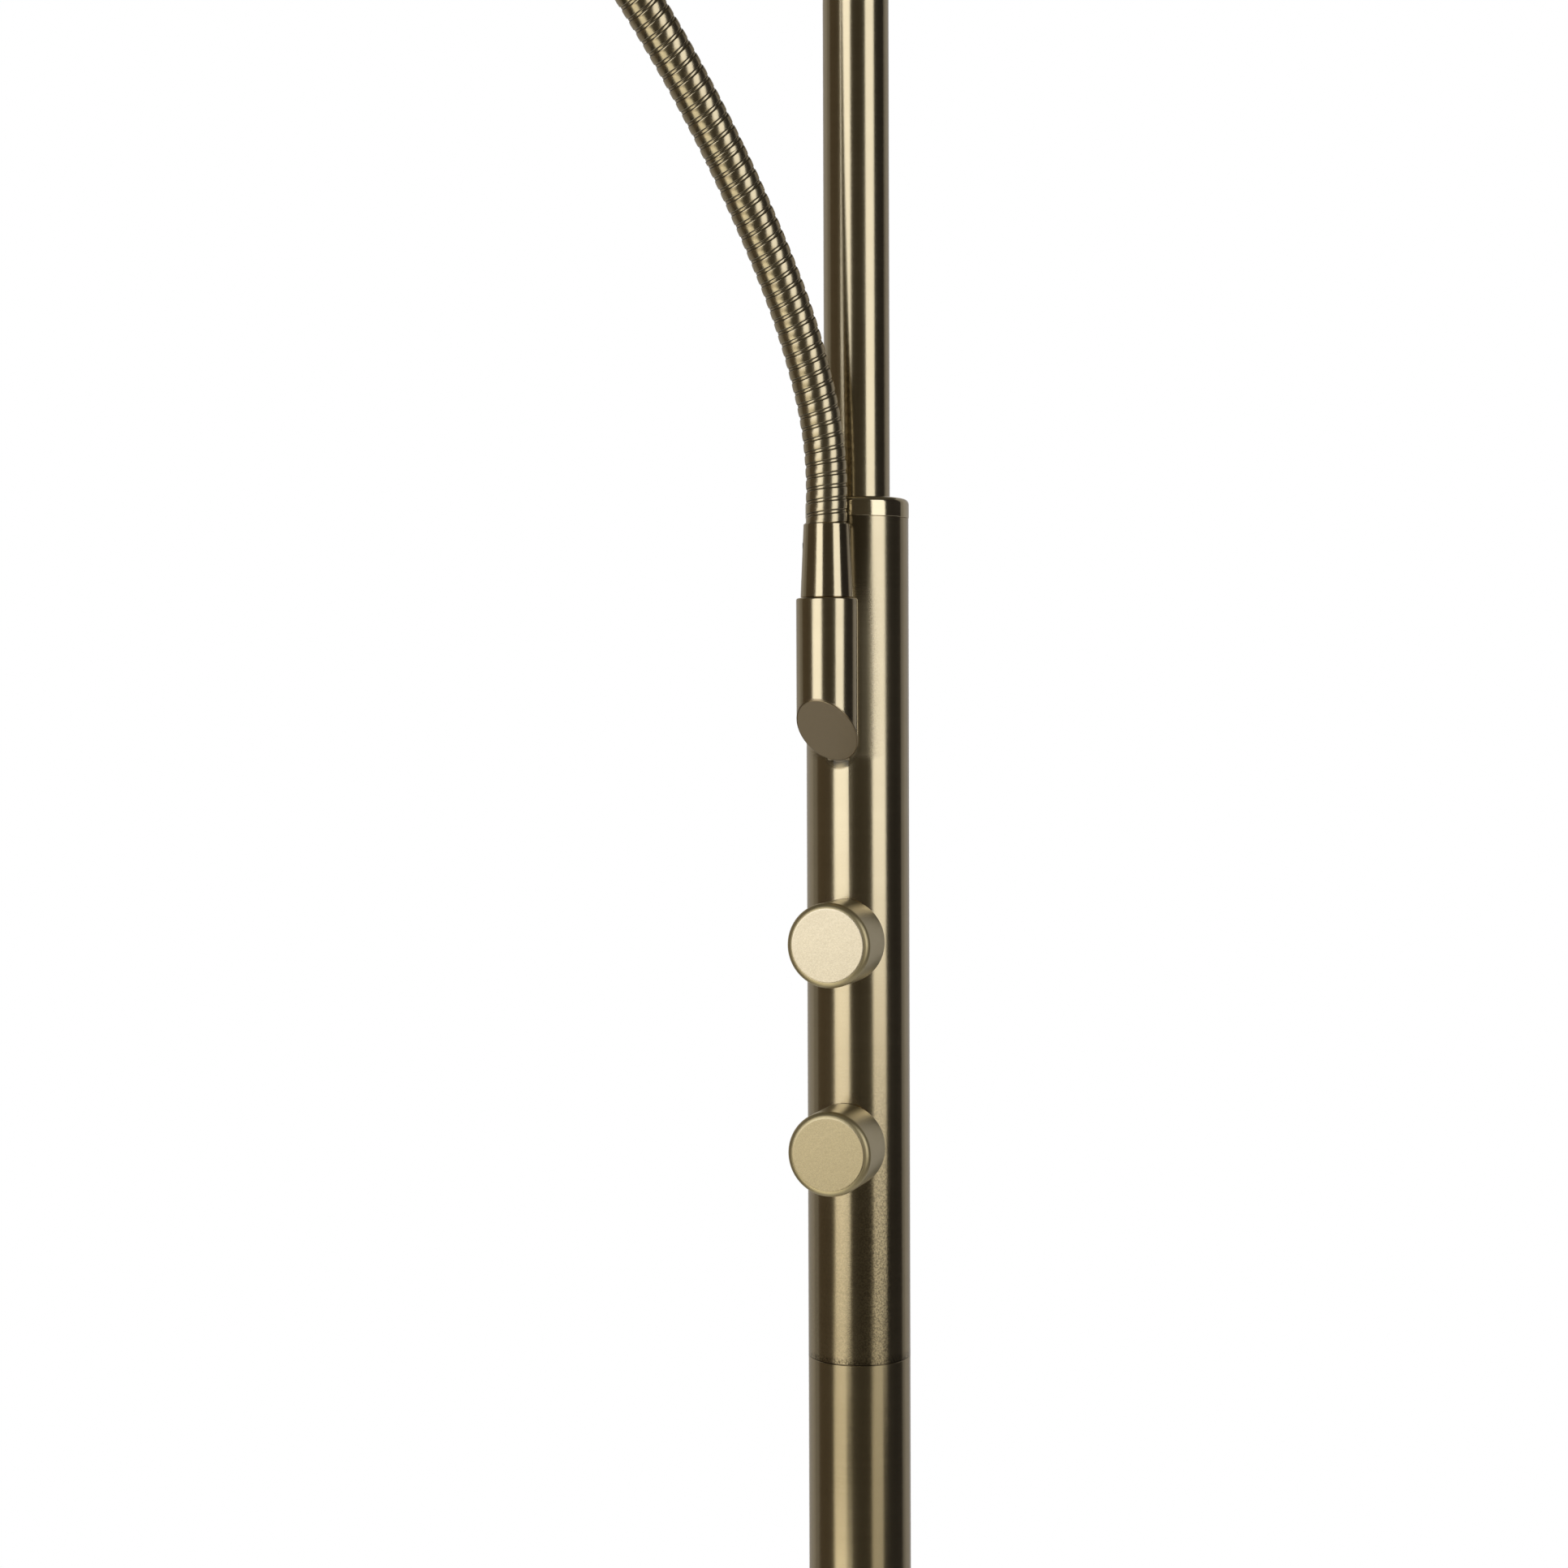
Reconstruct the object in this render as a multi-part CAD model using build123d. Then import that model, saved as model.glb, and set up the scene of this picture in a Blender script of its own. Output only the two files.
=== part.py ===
from build123d import *
import math
import os

os.makedirs("parts", exist_ok=True)

# Floor lamp: a round foot, a pole in three lengths, a tube with two dimmer knobs, a flexible reading arm
# and an uplight dish. Millimetres, +Z up, origin on the floor under the pole, knobs facing -Y.

# Fits
PRESS_GAP = 0.05
RUNNING_GAP = 0.05
SCREW_GAP = 0.05
LOOSE_GAP = 0.3
SMALL_CHAMFER = 0.25

# Whole lamp
LAMP_HEIGHT = 1800.0

# Foot
BASE_DIAMETER = 270.0
BASE_HEIGHT = 25.0
BASE_EDGE_RADIUS = 5.0
BASE_SKIN = 1.5
PAD_THICKNESS = 2.0
PAD_INSET = 6.0
PLATE_THICKNESS = 1.5
WEIGHT_DIAMETER = 236.0
WEIGHT_CHAMFER = 3.0
NUT_POCKET_DIAMETER = 34.0
NUT_POCKET_ROOF = 6.0
PLATE_SCREW_COUNT = 4
PLATE_SCREW_CIRCLE = 200.0
PLATE_SCREW_DIAMETER = 4.0
PLATE_SCREW_HEAD = 7.5
PLATE_SCREW_LENGTH = 11.0

# Cord inlet in the back of the foot, with no cord in it
GLAND_HEIGHT = 10.5
GLAND_BORE = 6.4
GLAND_BARREL = 9.0
GLAND_FLANGE = 12.0
GLAND_FLANGE_THICKNESS = 2.5
BLOCK_WIDTH = 12.0
BLOCK_LENGTH = 20.0
BLOCK_HEIGHT = 10.0
BLOCK_INSET = 4.0
CHANNEL_WIDTH = 16.0
CHANNEL_HEIGHT = 14.5

# Threaded studs, plugs and nuts
STUD_DIAMETER = 9.9
STUD_BORE = 6.6
STUD_NUT_WIDTH = 17.0
STUD_NUT_HEIGHT = 6.0
STUD_REACH = 12.0
WASHER_DIAMETER = 28.0
WASHER_THICKNESS = 2.0
PLUG_LENGTH = 18.0

# Pole
POLE_DIAMETER = 25.0
POLE_WALL = 1.2
POLE_END_CHAMFER = 0.12
POLE_SECTION_LENGTH = 487.2
CONTROL_TUBE_LENGTH = 204.2
COLLAR_DIAMETER = 25.2
COLLAR_HEIGHT = 4.7
COLLAR_EDGE_RADIUS = 1.4
COLLAR_SPIGOT = 18.0
COLLAR_SHOULDER = 3.0
COLLAR_SHOULDER_BORE = 13.2
UPPER_POLE_DIAMETER = 16.0
UPPER_POLE_WALL = 1.0

# Dimmers and knobs, below the top of the control tube
UPPER_KNOB_DROP = 101.75
KNOB_SPACING = 49.2
KNOB_DIAMETER = 20.2
KNOB_LENGTH = 14.4
KNOB_EDGE_RADIUS = 1.6
KNOB_GAP = 0.5
KNOB_RECESS_DIAMETER = 12.8
KNOB_RECESS_DEPTH = 3.6
KNOB_FACE_THICKNESS = 3.4
SHAFT_DIAMETER = 6.0
SHAFT_FLAT_OFFSET = 1.5
SHAFT_FLAT_LENGTH = 6.5
SHAFT_ROOT_DEPTH = 1.8
DIMMER_WIDTH = 14.0
DIMMER_DEPTH = 8.0
DIMMER_BUSH_DIAMETER = 7.0
DIMMER_BUSH_REACH = 3.2
DIMMER_NUT_WIDTH = 10.0
DIMMER_NUT_HEIGHT = 2.0
BOARD_THICKNESS = 1.6
BOARD_WIDTH = 18.0
BOARD_MARGIN = 16.0

# Holder brazed to the side of the control tube. Side angles turn from the knobs' direction toward -X.
HOLDER_SIDE_ANGLE = 6.0
HOLDER_DROP = 20.0
HOLDER_DIAMETER = 14.6
HOLDER_CUT_DROP = 51.6
HOLDER_CUT_ANGLE = 45.0
HOLDER_SADDLE_DEPTH = 0.1
HOLDER_BORE_DEPTH = 21.0
HOLDER_EDGE_RADIUS = 0.5
HOLDER_CUT_EDGE_RADIUS = 0.3
BRAZE_WIDTH = 5.6
BRAZE_THICKNESS = 0.5
BRAZE_RISE = 0.5

# Tapered sleeves at both ends of the neck
FERRULE_LENGTH = 17.6
FERRULE_NECK_DIAMETER = 11.0
FERRULE_WIDE_DIAMETER = 12.5
FERRULE_SCREW_REACH = 12.0
FERRULE_SPIGOT_LENGTH = 8.0
FERRULE_WIRE_BORE = 4.8
GRUB_SCREW_DIAMETER = 1.8
GRUB_SCREW_LENGTH = 1.8
GRUB_SCREW_DROP = 5.4
GRUB_SIDE_ANGLE = 73.0

# Flexible neck: its curve as (length, turn in degrees) from the ferrule up, all in one leaning plane
NECK_SIDE_ANGLE = 38.0
NECK_BENDS = (
    (8.0, 0.0),
    (22.0, 15.9),
    (30.0, 10.8),
    (30.0, 5.2),
    (80.0, 15.0),
    (208.0, 103.1),
    (42.0, 0.0),
)
NECK_DIAMETER = 9.8
NECK_BORE = 6.8
RIB_COUNT = 140
RIB_GROOVE_DEPTH = 0.5
RIB_SHOULDER_DROP = 0.07
RIB_GROOVE_SHARE = 0.13
NECK_SPAN_COUNT = 7
SPAN_END_GAP = 0.15
SPAN_CLOSE_ANGLE = 12.0
SPAN_OPEN_ANGLE = 22.0
SPAN_ANGLE_MARGIN = 1.0

# Two-core wires
WIRE_DIAMETER = 4.0
WIRE_BEND_RADIUS = 5.0
POLE_WIRE_BEND_RADIUS = 7.0
WIRE_HOLE_RISE = 17.5

# Reading head
HEAD_DIAMETER = 52.0
HEAD_LENGTH = 56.0
HEAD_SKIN = 1.2
HEAD_BACK_DIAMETER = 22.0
HEAD_SHOULDER_LENGTH = 20.0
HEAD_NUT_WIDTH = 14.0
HEAD_NUT_HEIGHT = 6.0
SINK_PLATE_THICKNESS = 6.0
SINK_FIN_LENGTH = 10.0
SINK_FIN_COUNT = 7
SINK_FIN_THICKNESS = 1.6
SINK_FIN_DIAMETER = 36.0
SINK_HEIGHT = 25.0
HEAD_BOARD_DIAMETER = 30.0
HEAD_BOARD_THICKNESS = 1.6
HEAD_LED_DIAMETER = 11.0
HEAD_LED_THICKNESS = 0.8
REFLECTOR_MOUTH = 47.6
REFLECTOR_THROAT = 14.0
REFLECTOR_SKIN = 0.8
LENS_THICKNESS = 2.0
HEAD_RING_BORE = 45.0
HEAD_RING_LENGTH = 3.0
HEAD_RING_RECESS = 0.6

# Uplight dish
DISH_DIAMETER = 260.0
DISH_DEPTH = 36.0
DISH_SKIN = 1.2
DISH_FLAT_DIAMETER = 90.0
DISH_RIM_HEIGHT = 14.0
DIFFUSER_THICKNESS = 3.0
DISH_RING_FLANGE = 3.0
DISH_RING_LAP = 6.0
DISH_RING_SKIN = 1.2
DISH_RING_SKIRT = 9.0
HUB_HEIGHT = 20.0
HUB_DIAMETER = 44.0
HUB_FLARE_RADIUS = 26.0
DISH_STUD_DIAMETER = 7.9
DISH_STUD_BORE = 5.4
DISH_NUT_WIDTH = 13.0
DISH_NUT_HEIGHT = 6.5
DISH_STUD_REACH = 12.0
STANDOFF_COUNT = 4
STANDOFF_CIRCLE = 72.0
STANDOFF_DIAMETER = 7.0
STANDOFF_HEIGHT = 18.0
CARRIER_DIAMETER = 200.0
CARRIER_THICKNESS = 2.0
CARRIER_SCREW_DIAMETER = 3.0
CARRIER_SCREW_HEAD = 5.5
CARRIER_SCREW_HEAD_HEIGHT = 2.0
CARRIER_SCREW_LENGTH = 8.0
LED_BOARD_OUTER = 190.0
LED_BOARD_INNER = 110.0
LED_COUNT = 24
LED_CIRCLE = 150.0
LED_WIDTH = 5.0
LED_HEIGHT = 0.8

# Heights and radii that follow from the sizes above
base_radius = BASE_DIAMETER / 2
plate_top = PAD_THICKNESS + PLATE_THICKNESS
cover_roof = BASE_HEIGHT - BASE_SKIN
pocket_top = cover_roof - NUT_POCKET_ROOF
stud_radius = STUD_DIAMETER / 2
thread_radius = stud_radius + SCREW_GAP
pole_radius = POLE_DIAMETER / 2
pole_bore_radius = pole_radius - POLE_WALL
first_joint = BASE_HEIGHT + POLE_SECTION_LENGTH
control_bottom = first_joint + POLE_SECTION_LENGTH
control_top = control_bottom + CONTROL_TUBE_LENGTH
upper_knob_height = control_top - UPPER_KNOB_DROP
lower_knob_height = upper_knob_height - KNOB_SPACING
board_bottom = lower_knob_height - BOARD_MARGIN
board_top = upper_knob_height + BOARD_MARGIN
upper_pole_radius = UPPER_POLE_DIAMETER / 2
upper_pole_bore_radius = upper_pole_radius - UPPER_POLE_WALL
collar_bottom = control_top - COLLAR_SPIGOT
upper_pole_bottom = collar_bottom + COLLAR_SHOULDER
holder_radius = HOLDER_DIAMETER / 2
holder_distance = pole_radius + holder_radius - HOLDER_SADDLE_DEPTH
holder_top = control_top - HOLDER_DROP
wire_radius = WIRE_DIAMETER / 2
wire_hole_height = holder_top - WIRE_HOLE_RISE
neck_start_height = holder_top + FERRULE_LENGTH
neck_length = sum(length for length, turn in NECK_BENDS)
rib_pitch = neck_length / RIB_COUNT
ribs_per_span = RIB_COUNT // NECK_SPAN_COUNT
dish_rim_top = LAMP_HEIGHT - DISH_RING_FLANGE - DIFFUSER_THICKNESS
dish_bottom = dish_rim_top - DISH_DEPTH
dish_floor = dish_bottom + DISH_SKIN
hub_bottom = dish_bottom - HUB_HEIGHT
carrier_bottom = dish_floor + STANDOFF_HEIGHT
carrier_top = carrier_bottom + CARRIER_THICKNESS
led_board_top = carrier_top + BOARD_THICKNESS


# Shared shapes
def upright(radius, bottom, top):
    """Round bar on the Z axis between two heights."""
    bar = Cylinder(radius, top - bottom, align=(Align.CENTER, Align.CENTER, Align.MIN))
    return Pos(0, 0, bottom) * bar


def tube(outer_radius, inner_radius, bottom, top):
    """Round tube on the Z axis between two heights."""
    return upright(outer_radius, bottom, top) - upright(inner_radius, bottom, top)


def block(width, depth, bottom, top):
    """Box centred on the Z axis between two heights."""
    box = Box(width, depth, top - bottom, align=(Align.CENTER, Align.CENTER, Align.MIN))
    return Pos(0, 0, bottom) * box


def hexagon_nut(across_flats, hole_radius, bottom, top):
    """Hexagon nut on the Z axis, its thread drawn as a plain hole."""
    outline = RegularPolygon(across_flats / 2, 6, major_radius=False)
    body = Pos(0, 0, bottom) * extrude(outline, top - bottom)
    return body - upright(hole_radius, bottom, top)


def turned(points):
    """Solid of revolution about the Z axis from (radius, height) corners."""
    outline = Polyline(*[(radius, 0, height) for radius, height in points], close=True)
    return revolve(make_face(outline), Axis.Z)


def around(count, radius):
    """Places at equal angles on a circle, the first one turned half a step from +X."""
    return PolarLocations(radius, count, start_angle=180 / count)


def facing_front(shape, height):
    """Turns a shape built along +Z to point along -Y from the pole at a height."""
    return Pos(0, 0, height) * Rot(90, 0, 0) * shape


def outward(side_angle):
    """Level direction away from the pole at a side angle."""
    angle = math.radians(side_angle)
    return Vector(-math.sin(angle), -math.cos(angle), 0)


def beside_pole(shape, side_angle, distance):
    """Turns a shape's +X to a side angle and stands it that far from the pole's axis."""
    return Rot(0, 0, -90 - side_angle) * Pos(distance, 0, 0) * shape


def swept_wire(path):
    """Round wire along a path."""
    start = Plane(path @ 0, z_dir=path % 0)
    return sweep(start * Circle(wire_radius), path=path)


def write(name, *solids):
    """Writes one node, of one or several solids."""
    shape = solids[0] if len(solids) == 1 else Compound(children=list(solids))
    export_step(shape, "parts/" + name + ".step")


# Foot
def base_cover():
    """Spun cover with a rounded edge, open below, drilled for the stud and the cord inlet."""
    outer = upright(base_radius, PAD_THICKNESS, BASE_HEIGHT)
    outer = fillet(outer.edges().sort_by(Axis.Z)[-1], BASE_EDGE_RADIUS)
    inner = upright(base_radius - BASE_SKIN, PAD_THICKNESS, cover_roof)
    inner = fillet(inner.edges().sort_by(Axis.Z)[-1], BASE_EDGE_RADIUS - BASE_SKIN)
    cover = outer - inner - upright(stud_radius + LOOSE_GAP, cover_roof, BASE_HEIGHT)
    inlet = upright(GLAND_BARREL / 2 + PRESS_GAP, base_radius - 2 * BASE_SKIN, base_radius + BASE_SKIN)
    return cover - Pos(0, 0, GLAND_HEIGHT) * Rot(-90, 0, 0) * inlet


def base_weight():
    """Cast ballast with a pocket for the nut and a channel for the wire."""
    weight = upright(WEIGHT_DIAMETER / 2, plate_top, cover_roof)
    weight = chamfer(weight.edges().sort_by(Axis.Z)[-1], WEIGHT_CHAMFER)
    weight -= upright(stud_radius + LOOSE_GAP, plate_top, cover_roof)
    weight -= upright(NUT_POCKET_DIAMETER / 2, plate_top, pocket_top)
    channel = block(CHANNEL_WIDTH, WEIGHT_DIAMETER / 2 + BASE_SKIN, plate_top, plate_top + CHANNEL_HEIGHT)
    weight -= Pos(0, (WEIGHT_DIAMETER / 2 + BASE_SKIN) / 2, 0) * channel
    hole_depth = PLATE_SCREW_LENGTH + LOOSE_GAP
    hole = upright(PLATE_SCREW_DIAMETER / 2 + SCREW_GAP, PAD_THICKNESS, PAD_THICKNESS + hole_depth)
    for place in around(PLATE_SCREW_COUNT, PLATE_SCREW_CIRCLE / 2):
        weight -= place * hole
    return weight


def plate_screw(gap):
    """Countersunk screw, grown by a gap to give its hole in the plate."""
    head = PLATE_SCREW_HEAD / 2 + gap
    shank = PLATE_SCREW_DIAMETER / 2 + gap
    top = PAD_THICKNESS + PLATE_SCREW_LENGTH
    corners = [(0, PAD_THICKNESS), (head, PAD_THICKNESS), (shank, plate_top), (shank, top), (0, top)]
    return turned(corners)


def base_plate():
    """Sheet disc that closes the foot, countersunk for its screws."""
    plate = upright(base_radius - BASE_SKIN - LOOSE_GAP, PAD_THICKNESS, plate_top)
    for place in around(PLATE_SCREW_COUNT, PLATE_SCREW_CIRCLE / 2):
        plate -= place * plate_screw(SCREW_GAP)
    return plate


def cord_gland():
    """Bush through the back of the cover, with a flange on each side of the skin."""
    inside = base_radius - BASE_SKIN - LOOSE_GAP
    outside = base_radius + PRESS_GAP
    bush = upright(GLAND_BARREL / 2, inside - GLAND_FLANGE_THICKNESS, outside + GLAND_FLANGE_THICKNESS)
    bush += upright(GLAND_FLANGE / 2, inside - GLAND_FLANGE_THICKNESS, inside)
    flange = upright(GLAND_FLANGE / 2, outside, outside + GLAND_FLANGE_THICKNESS)
    bush += fillet(flange.edges().sort_by(Axis.Z)[-1], GLAND_FLANGE_THICKNESS / 3)
    bush -= upright(GLAND_BORE / 2, inside - GLAND_FLANGE_THICKNESS, outside + GLAND_FLANGE_THICKNESS)
    return Pos(0, 0, GLAND_HEIGHT) * Rot(-90, 0, 0) * bush


def terminal_block():
    """Block in the channel that takes the cord's wires."""
    body = block(BLOCK_WIDTH, BLOCK_LENGTH, plate_top, plate_top + BLOCK_HEIGHT)
    middle = WEIGHT_DIAMETER / 2 - BLOCK_INSET - BLOCK_LENGTH / 2
    return Pos(0, middle, 0) * chamfer(body.edges().group_by(Axis.Z)[-1], SMALL_CHAMFER)


def hollow_stud(diameter, bore, bottom, top):
    """Hollow threaded stud with chamfered ends."""
    stud = tube(diameter / 2, bore / 2, bottom, top)
    rims = stud.edges().filter_by(GeomType.CIRCLE).sort_by(SortBy.RADIUS)[-2:]
    return chamfer(rims, SMALL_CHAMFER)


washer_bottom = pocket_top - WASHER_THICKNESS
base_nut_bottom = washer_bottom - STUD_NUT_HEIGHT
write("base_pad", upright(base_radius - PAD_INSET, 0, PAD_THICKNESS))
write("base_plate", base_plate())
plate_screw_places = around(PLATE_SCREW_COUNT, PLATE_SCREW_CIRCLE / 2)
write("base_plate_screws", *[place * plate_screw(0) for place in plate_screw_places])
write("base_weight", base_weight())
write("base_cover", base_cover())
write("cord_gland", cord_gland())
write("terminal_block", terminal_block())
write("base_stud", hollow_stud(STUD_DIAMETER, STUD_BORE, base_nut_bottom, BASE_HEIGHT + STUD_REACH))
write("base_washer", tube(WASHER_DIAMETER / 2, stud_radius + LOOSE_GAP, washer_bottom, pocket_top))
write("base_nut", hexagon_nut(STUD_NUT_WIDTH, thread_radius, base_nut_bottom, washer_bottom))


# Pole
def pole_length(bottom, top):
    """Length of pole tube with both ends broken by a fine chamfer."""
    body = tube(pole_radius, pole_bore_radius, bottom, top)
    rims = body.edges().filter_by(GeomType.CIRCLE).sort_by(SortBy.RADIUS)[-2:]
    return chamfer(rims, POLE_END_CHAMFER)


def end_plug(bottom):
    """Threaded plug pressed into an end of a pole tube."""
    return tube(pole_bore_radius - PRESS_GAP, thread_radius, bottom, bottom + PLUG_LENGTH)


def control_tube():
    """Tube drilled for both dimmers and for the reading arm's wire."""
    body = pole_length(control_bottom, control_top)
    bush_hole = upright(DIMMER_BUSH_DIAMETER / 2 + LOOSE_GAP, pole_bore_radius / 2, pole_radius + POLE_WALL)
    body -= facing_front(bush_hole, upper_knob_height)
    body -= facing_front(bush_hole, lower_knob_height)
    return body - wire_hole()


def wire_hole():
    """Level hole from the control tube into the holder's bore."""
    drill = upright(FERRULE_WIRE_BORE / 2, pole_bore_radius / 2, holder_distance)
    level = Rot(0, 90, 0) * drill
    return Pos(0, 0, wire_hole_height) * beside_pole(level, HOLDER_SIDE_ANGLE, 0)


def top_collar():
    """Turned collar with a rounded top and a spigot that stops the upper pole inside."""
    cap = upright(COLLAR_DIAMETER / 2, control_top, control_top + COLLAR_HEIGHT)
    cap = fillet(cap.edges().sort_by(Axis.Z)[-1], COLLAR_EDGE_RADIUS)
    collar = cap + upright(pole_bore_radius - PRESS_GAP, collar_bottom, control_top)
    collar -= upright(COLLAR_SHOULDER_BORE / 2, collar_bottom, upper_pole_bottom)
    return collar - upright(upper_pole_radius + PRESS_GAP, upper_pole_bottom, control_top + COLLAR_HEIGHT)


def pole_wire():
    """Wire from the terminal block up the pole to the control board."""
    level = plate_top + LOOSE_GAP + wire_radius
    block_face = WEIGHT_DIAMETER / 2 - BLOCK_INSET - BLOCK_LENGTH - LOOSE_GAP
    top = board_bottom - LOOSE_GAP
    path = FilletPolyline((0, block_face, level), (0, 0, level), (0, 0, top), radius=POLE_WIRE_BEND_RADIUS)
    return swept_wire(path)


plug_bottoms = (
    BASE_HEIGHT,
    first_joint - PLUG_LENGTH,
    first_joint,
    control_bottom - PLUG_LENGTH,
    control_bottom,
)
write("lower_pole", pole_length(BASE_HEIGHT, first_joint))
write("middle_pole", pole_length(first_joint, control_bottom))
write("pole_end_plugs", *[end_plug(bottom) for bottom in plug_bottoms])
joint_studs = [
    hollow_stud(STUD_DIAMETER, STUD_BORE, joint - STUD_REACH, joint + STUD_REACH)
    for joint in (first_joint, control_bottom)
]
write("pole_joint_studs", *joint_studs)
write("control_tube", control_tube())
write("top_collar", top_collar())
write("upper_pole", tube(upper_pole_radius, upper_pole_bore_radius, upper_pole_bottom, hub_bottom))
write("pole_wire", pole_wire())


# Dimmers and knobs, drawn along +Z from the pole's axis and then turned to the front
bush_end = pole_radius + DIMMER_BUSH_REACH
shaft_root = DIMMER_DEPTH - SHAFT_ROOT_DEPTH
knob_back = pole_radius + KNOB_GAP
knob_face = knob_back + KNOB_LENGTH
shaft_end = knob_face - KNOB_FACE_THICKNESS
flat_start = shaft_end - SHAFT_FLAT_LENGTH


def shaft_form(gap):
    """Dimmer shaft with its flat, grown by a gap to give the knob's hole."""
    form = upright(SHAFT_DIAMETER / 2 + gap, shaft_root, shaft_end + gap)
    flat = block(SHAFT_DIAMETER * 2, SHAFT_DIAMETER, flat_start, shaft_end + 2 * gap + PRESS_GAP)
    return form - Pos(0, SHAFT_FLAT_OFFSET + gap + SHAFT_DIAMETER / 2, 0) * flat


def dimmer():
    """Dimmer can with its threaded bush, bored for the shaft."""
    can = block(DIMMER_WIDTH, DIMMER_WIDTH, 0, DIMMER_DEPTH)
    body = can + upright(DIMMER_BUSH_DIAMETER / 2, DIMMER_DEPTH, bush_end)
    return body - upright(SHAFT_DIAMETER / 2 + RUNNING_GAP, shaft_root - LOOSE_GAP, bush_end)


def dimmer_nut():
    """Thin hexagon nut that holds the dimmer against the tube."""
    back = pole_radius + PRESS_GAP
    return hexagon_nut(DIMMER_NUT_WIDTH, DIMMER_BUSH_DIAMETER / 2 + SCREW_GAP, back, back + DIMMER_NUT_HEIGHT)


def knob():
    """Turned knob with a rounded face edge, recessed behind over the nut."""
    body = upright(KNOB_DIAMETER / 2, knob_back, knob_face)
    body = fillet(body.edges().sort_by(Axis.Z)[-1], KNOB_EDGE_RADIUS)
    body -= upright(KNOB_RECESS_DIAMETER / 2, knob_back, knob_back + KNOB_RECESS_DEPTH)
    return body - shaft_form(PRESS_GAP)


def control_board():
    """Circuit board behind both dimmers."""
    board = block(BOARD_WIDTH, BOARD_THICKNESS, board_bottom, board_top)
    return Pos(0, BOARD_THICKNESS / 2, 0) * board


def uplight_wire():
    """Wire from the control board up the thin pole into the dish."""
    behind = BOARD_THICKNESS + LOOSE_GAP + wire_radius
    bottom = upper_knob_height
    aside = upper_pole_bottom + COLLAR_SPIGOT
    centred = (aside + hub_bottom) / 2
    top = dish_floor + DISH_NUT_HEIGHT + DISH_STUD_REACH / 2
    corners = ((0, behind, bottom), (0, behind, aside), (0, 0, centred), (0, 0, top))
    return swept_wire(FilletPolyline(*corners, radius=POLE_WIRE_BEND_RADIUS))


write("control_board", control_board())
write("uplight_wire", uplight_wire())
knob_heights = (upper_knob_height, lower_knob_height)
write("dimmer_nuts", *[facing_front(dimmer_nut(), height) for height in knob_heights])
for level, height in zip(("upper", "lower"), knob_heights):
    write(level + "_dimmer", facing_front(dimmer(), height))
    write(level + "_shaft", facing_front(shaft_form(0), height))
    write(level + "_knob", facing_front(knob(), height))


# Reading arm
holder_cut_height = control_top - HOLDER_CUT_DROP
holder_lowest = holder_cut_height - HOLDER_DIAMETER * math.tan(math.radians(HOLDER_CUT_ANGLE))


def below_cut(height):
    """Waste under the slanted plane that crosses the holder's axis at a height."""
    side = 4 * HOLDER_DIAMETER
    waste = Box(side, side, side, align=(Align.CENTER, Align.CENTER, Align.MAX))
    return Pos(0, 0, height) * Rot(0, -HOLDER_CUT_ANGLE, 0) * waste


def brazing():
    """Brazing metal that lines the holder where it meets the tube and stops just above its slanted end."""
    inner = holder_radius - BRAZE_THICKNESS
    outer = holder_radius + BRAZE_THICKNESS
    lining = tube(outer, inner, holder_lowest, holder_top - BRAZE_THICKNESS)
    strip = Pos(-holder_radius, 0, 0) * block(HOLDER_DIAMETER, BRAZE_WIDTH, holder_lowest, holder_top)
    return (lining & strip) - below_cut(holder_cut_height + BRAZE_RISE)


def neck_holder():
    """Holder with a slanted lower end, brazed to the tube and bored for the ferrule."""
    body = upright(holder_radius, holder_lowest, holder_top)
    body = fillet(body.edges().sort_by(Axis.Z)[-1], HOLDER_EDGE_RADIUS)
    body -= below_cut(holder_cut_height)
    body = fillet(body.faces().sort_by(Axis.Z)[0].edges(), HOLDER_CUT_EDGE_RADIUS)
    body += brazing()
    body -= upright(thread_radius, holder_top - HOLDER_BORE_DEPTH, holder_top)
    body = beside_pole(body, HOLDER_SIDE_ANGLE, holder_distance)
    return body - upright(pole_radius, control_bottom, control_top) - wire_hole()


def ferrule(side_angle):
    """Tapered sleeve: screw end below, spigot for the neck above, cross hole for the grub screw."""
    wide = FERRULE_WIDE_DIAMETER / 2
    narrow = FERRULE_NECK_DIAMETER / 2
    spigot = NECK_BORE / 2 - RUNNING_GAP
    bore = FERRULE_WIRE_BORE / 2
    spigot_top = FERRULE_LENGTH + FERRULE_SPIGOT_LENGTH
    corners = [
        (bore, -FERRULE_SCREW_REACH),
        (stud_radius, -FERRULE_SCREW_REACH),
        (stud_radius, 0),
        (wide - SMALL_CHAMFER, 0),
        (wide, SMALL_CHAMFER),
        (narrow, FERRULE_LENGTH - SMALL_CHAMFER),
        (narrow - SMALL_CHAMFER, FERRULE_LENGTH),
        (spigot, FERRULE_LENGTH),
        (spigot, spigot_top),
        (bore, spigot_top),
    ]
    return turned(corners) - grub_screw(side_angle, SCREW_GAP)


def grub_screw(side_angle, gap):
    """Grub screw flush with the ferrule's side, grown by a gap to give its hole."""
    height = FERRULE_LENGTH - GRUB_SCREW_DROP
    share = height / FERRULE_LENGTH
    surface = (FERRULE_WIDE_DIAMETER * (1 - share) + FERRULE_NECK_DIAMETER * share) / 2
    tip = surface - GRUB_SCREW_LENGTH - gap
    pin = upright(GRUB_SCREW_DIAMETER / 2 + gap, tip, surface + 2 * gap)
    return Rot(0, 0, -90 - side_angle) * Pos(0, 0, height) * Rot(0, 90, 0) * pin


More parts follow.
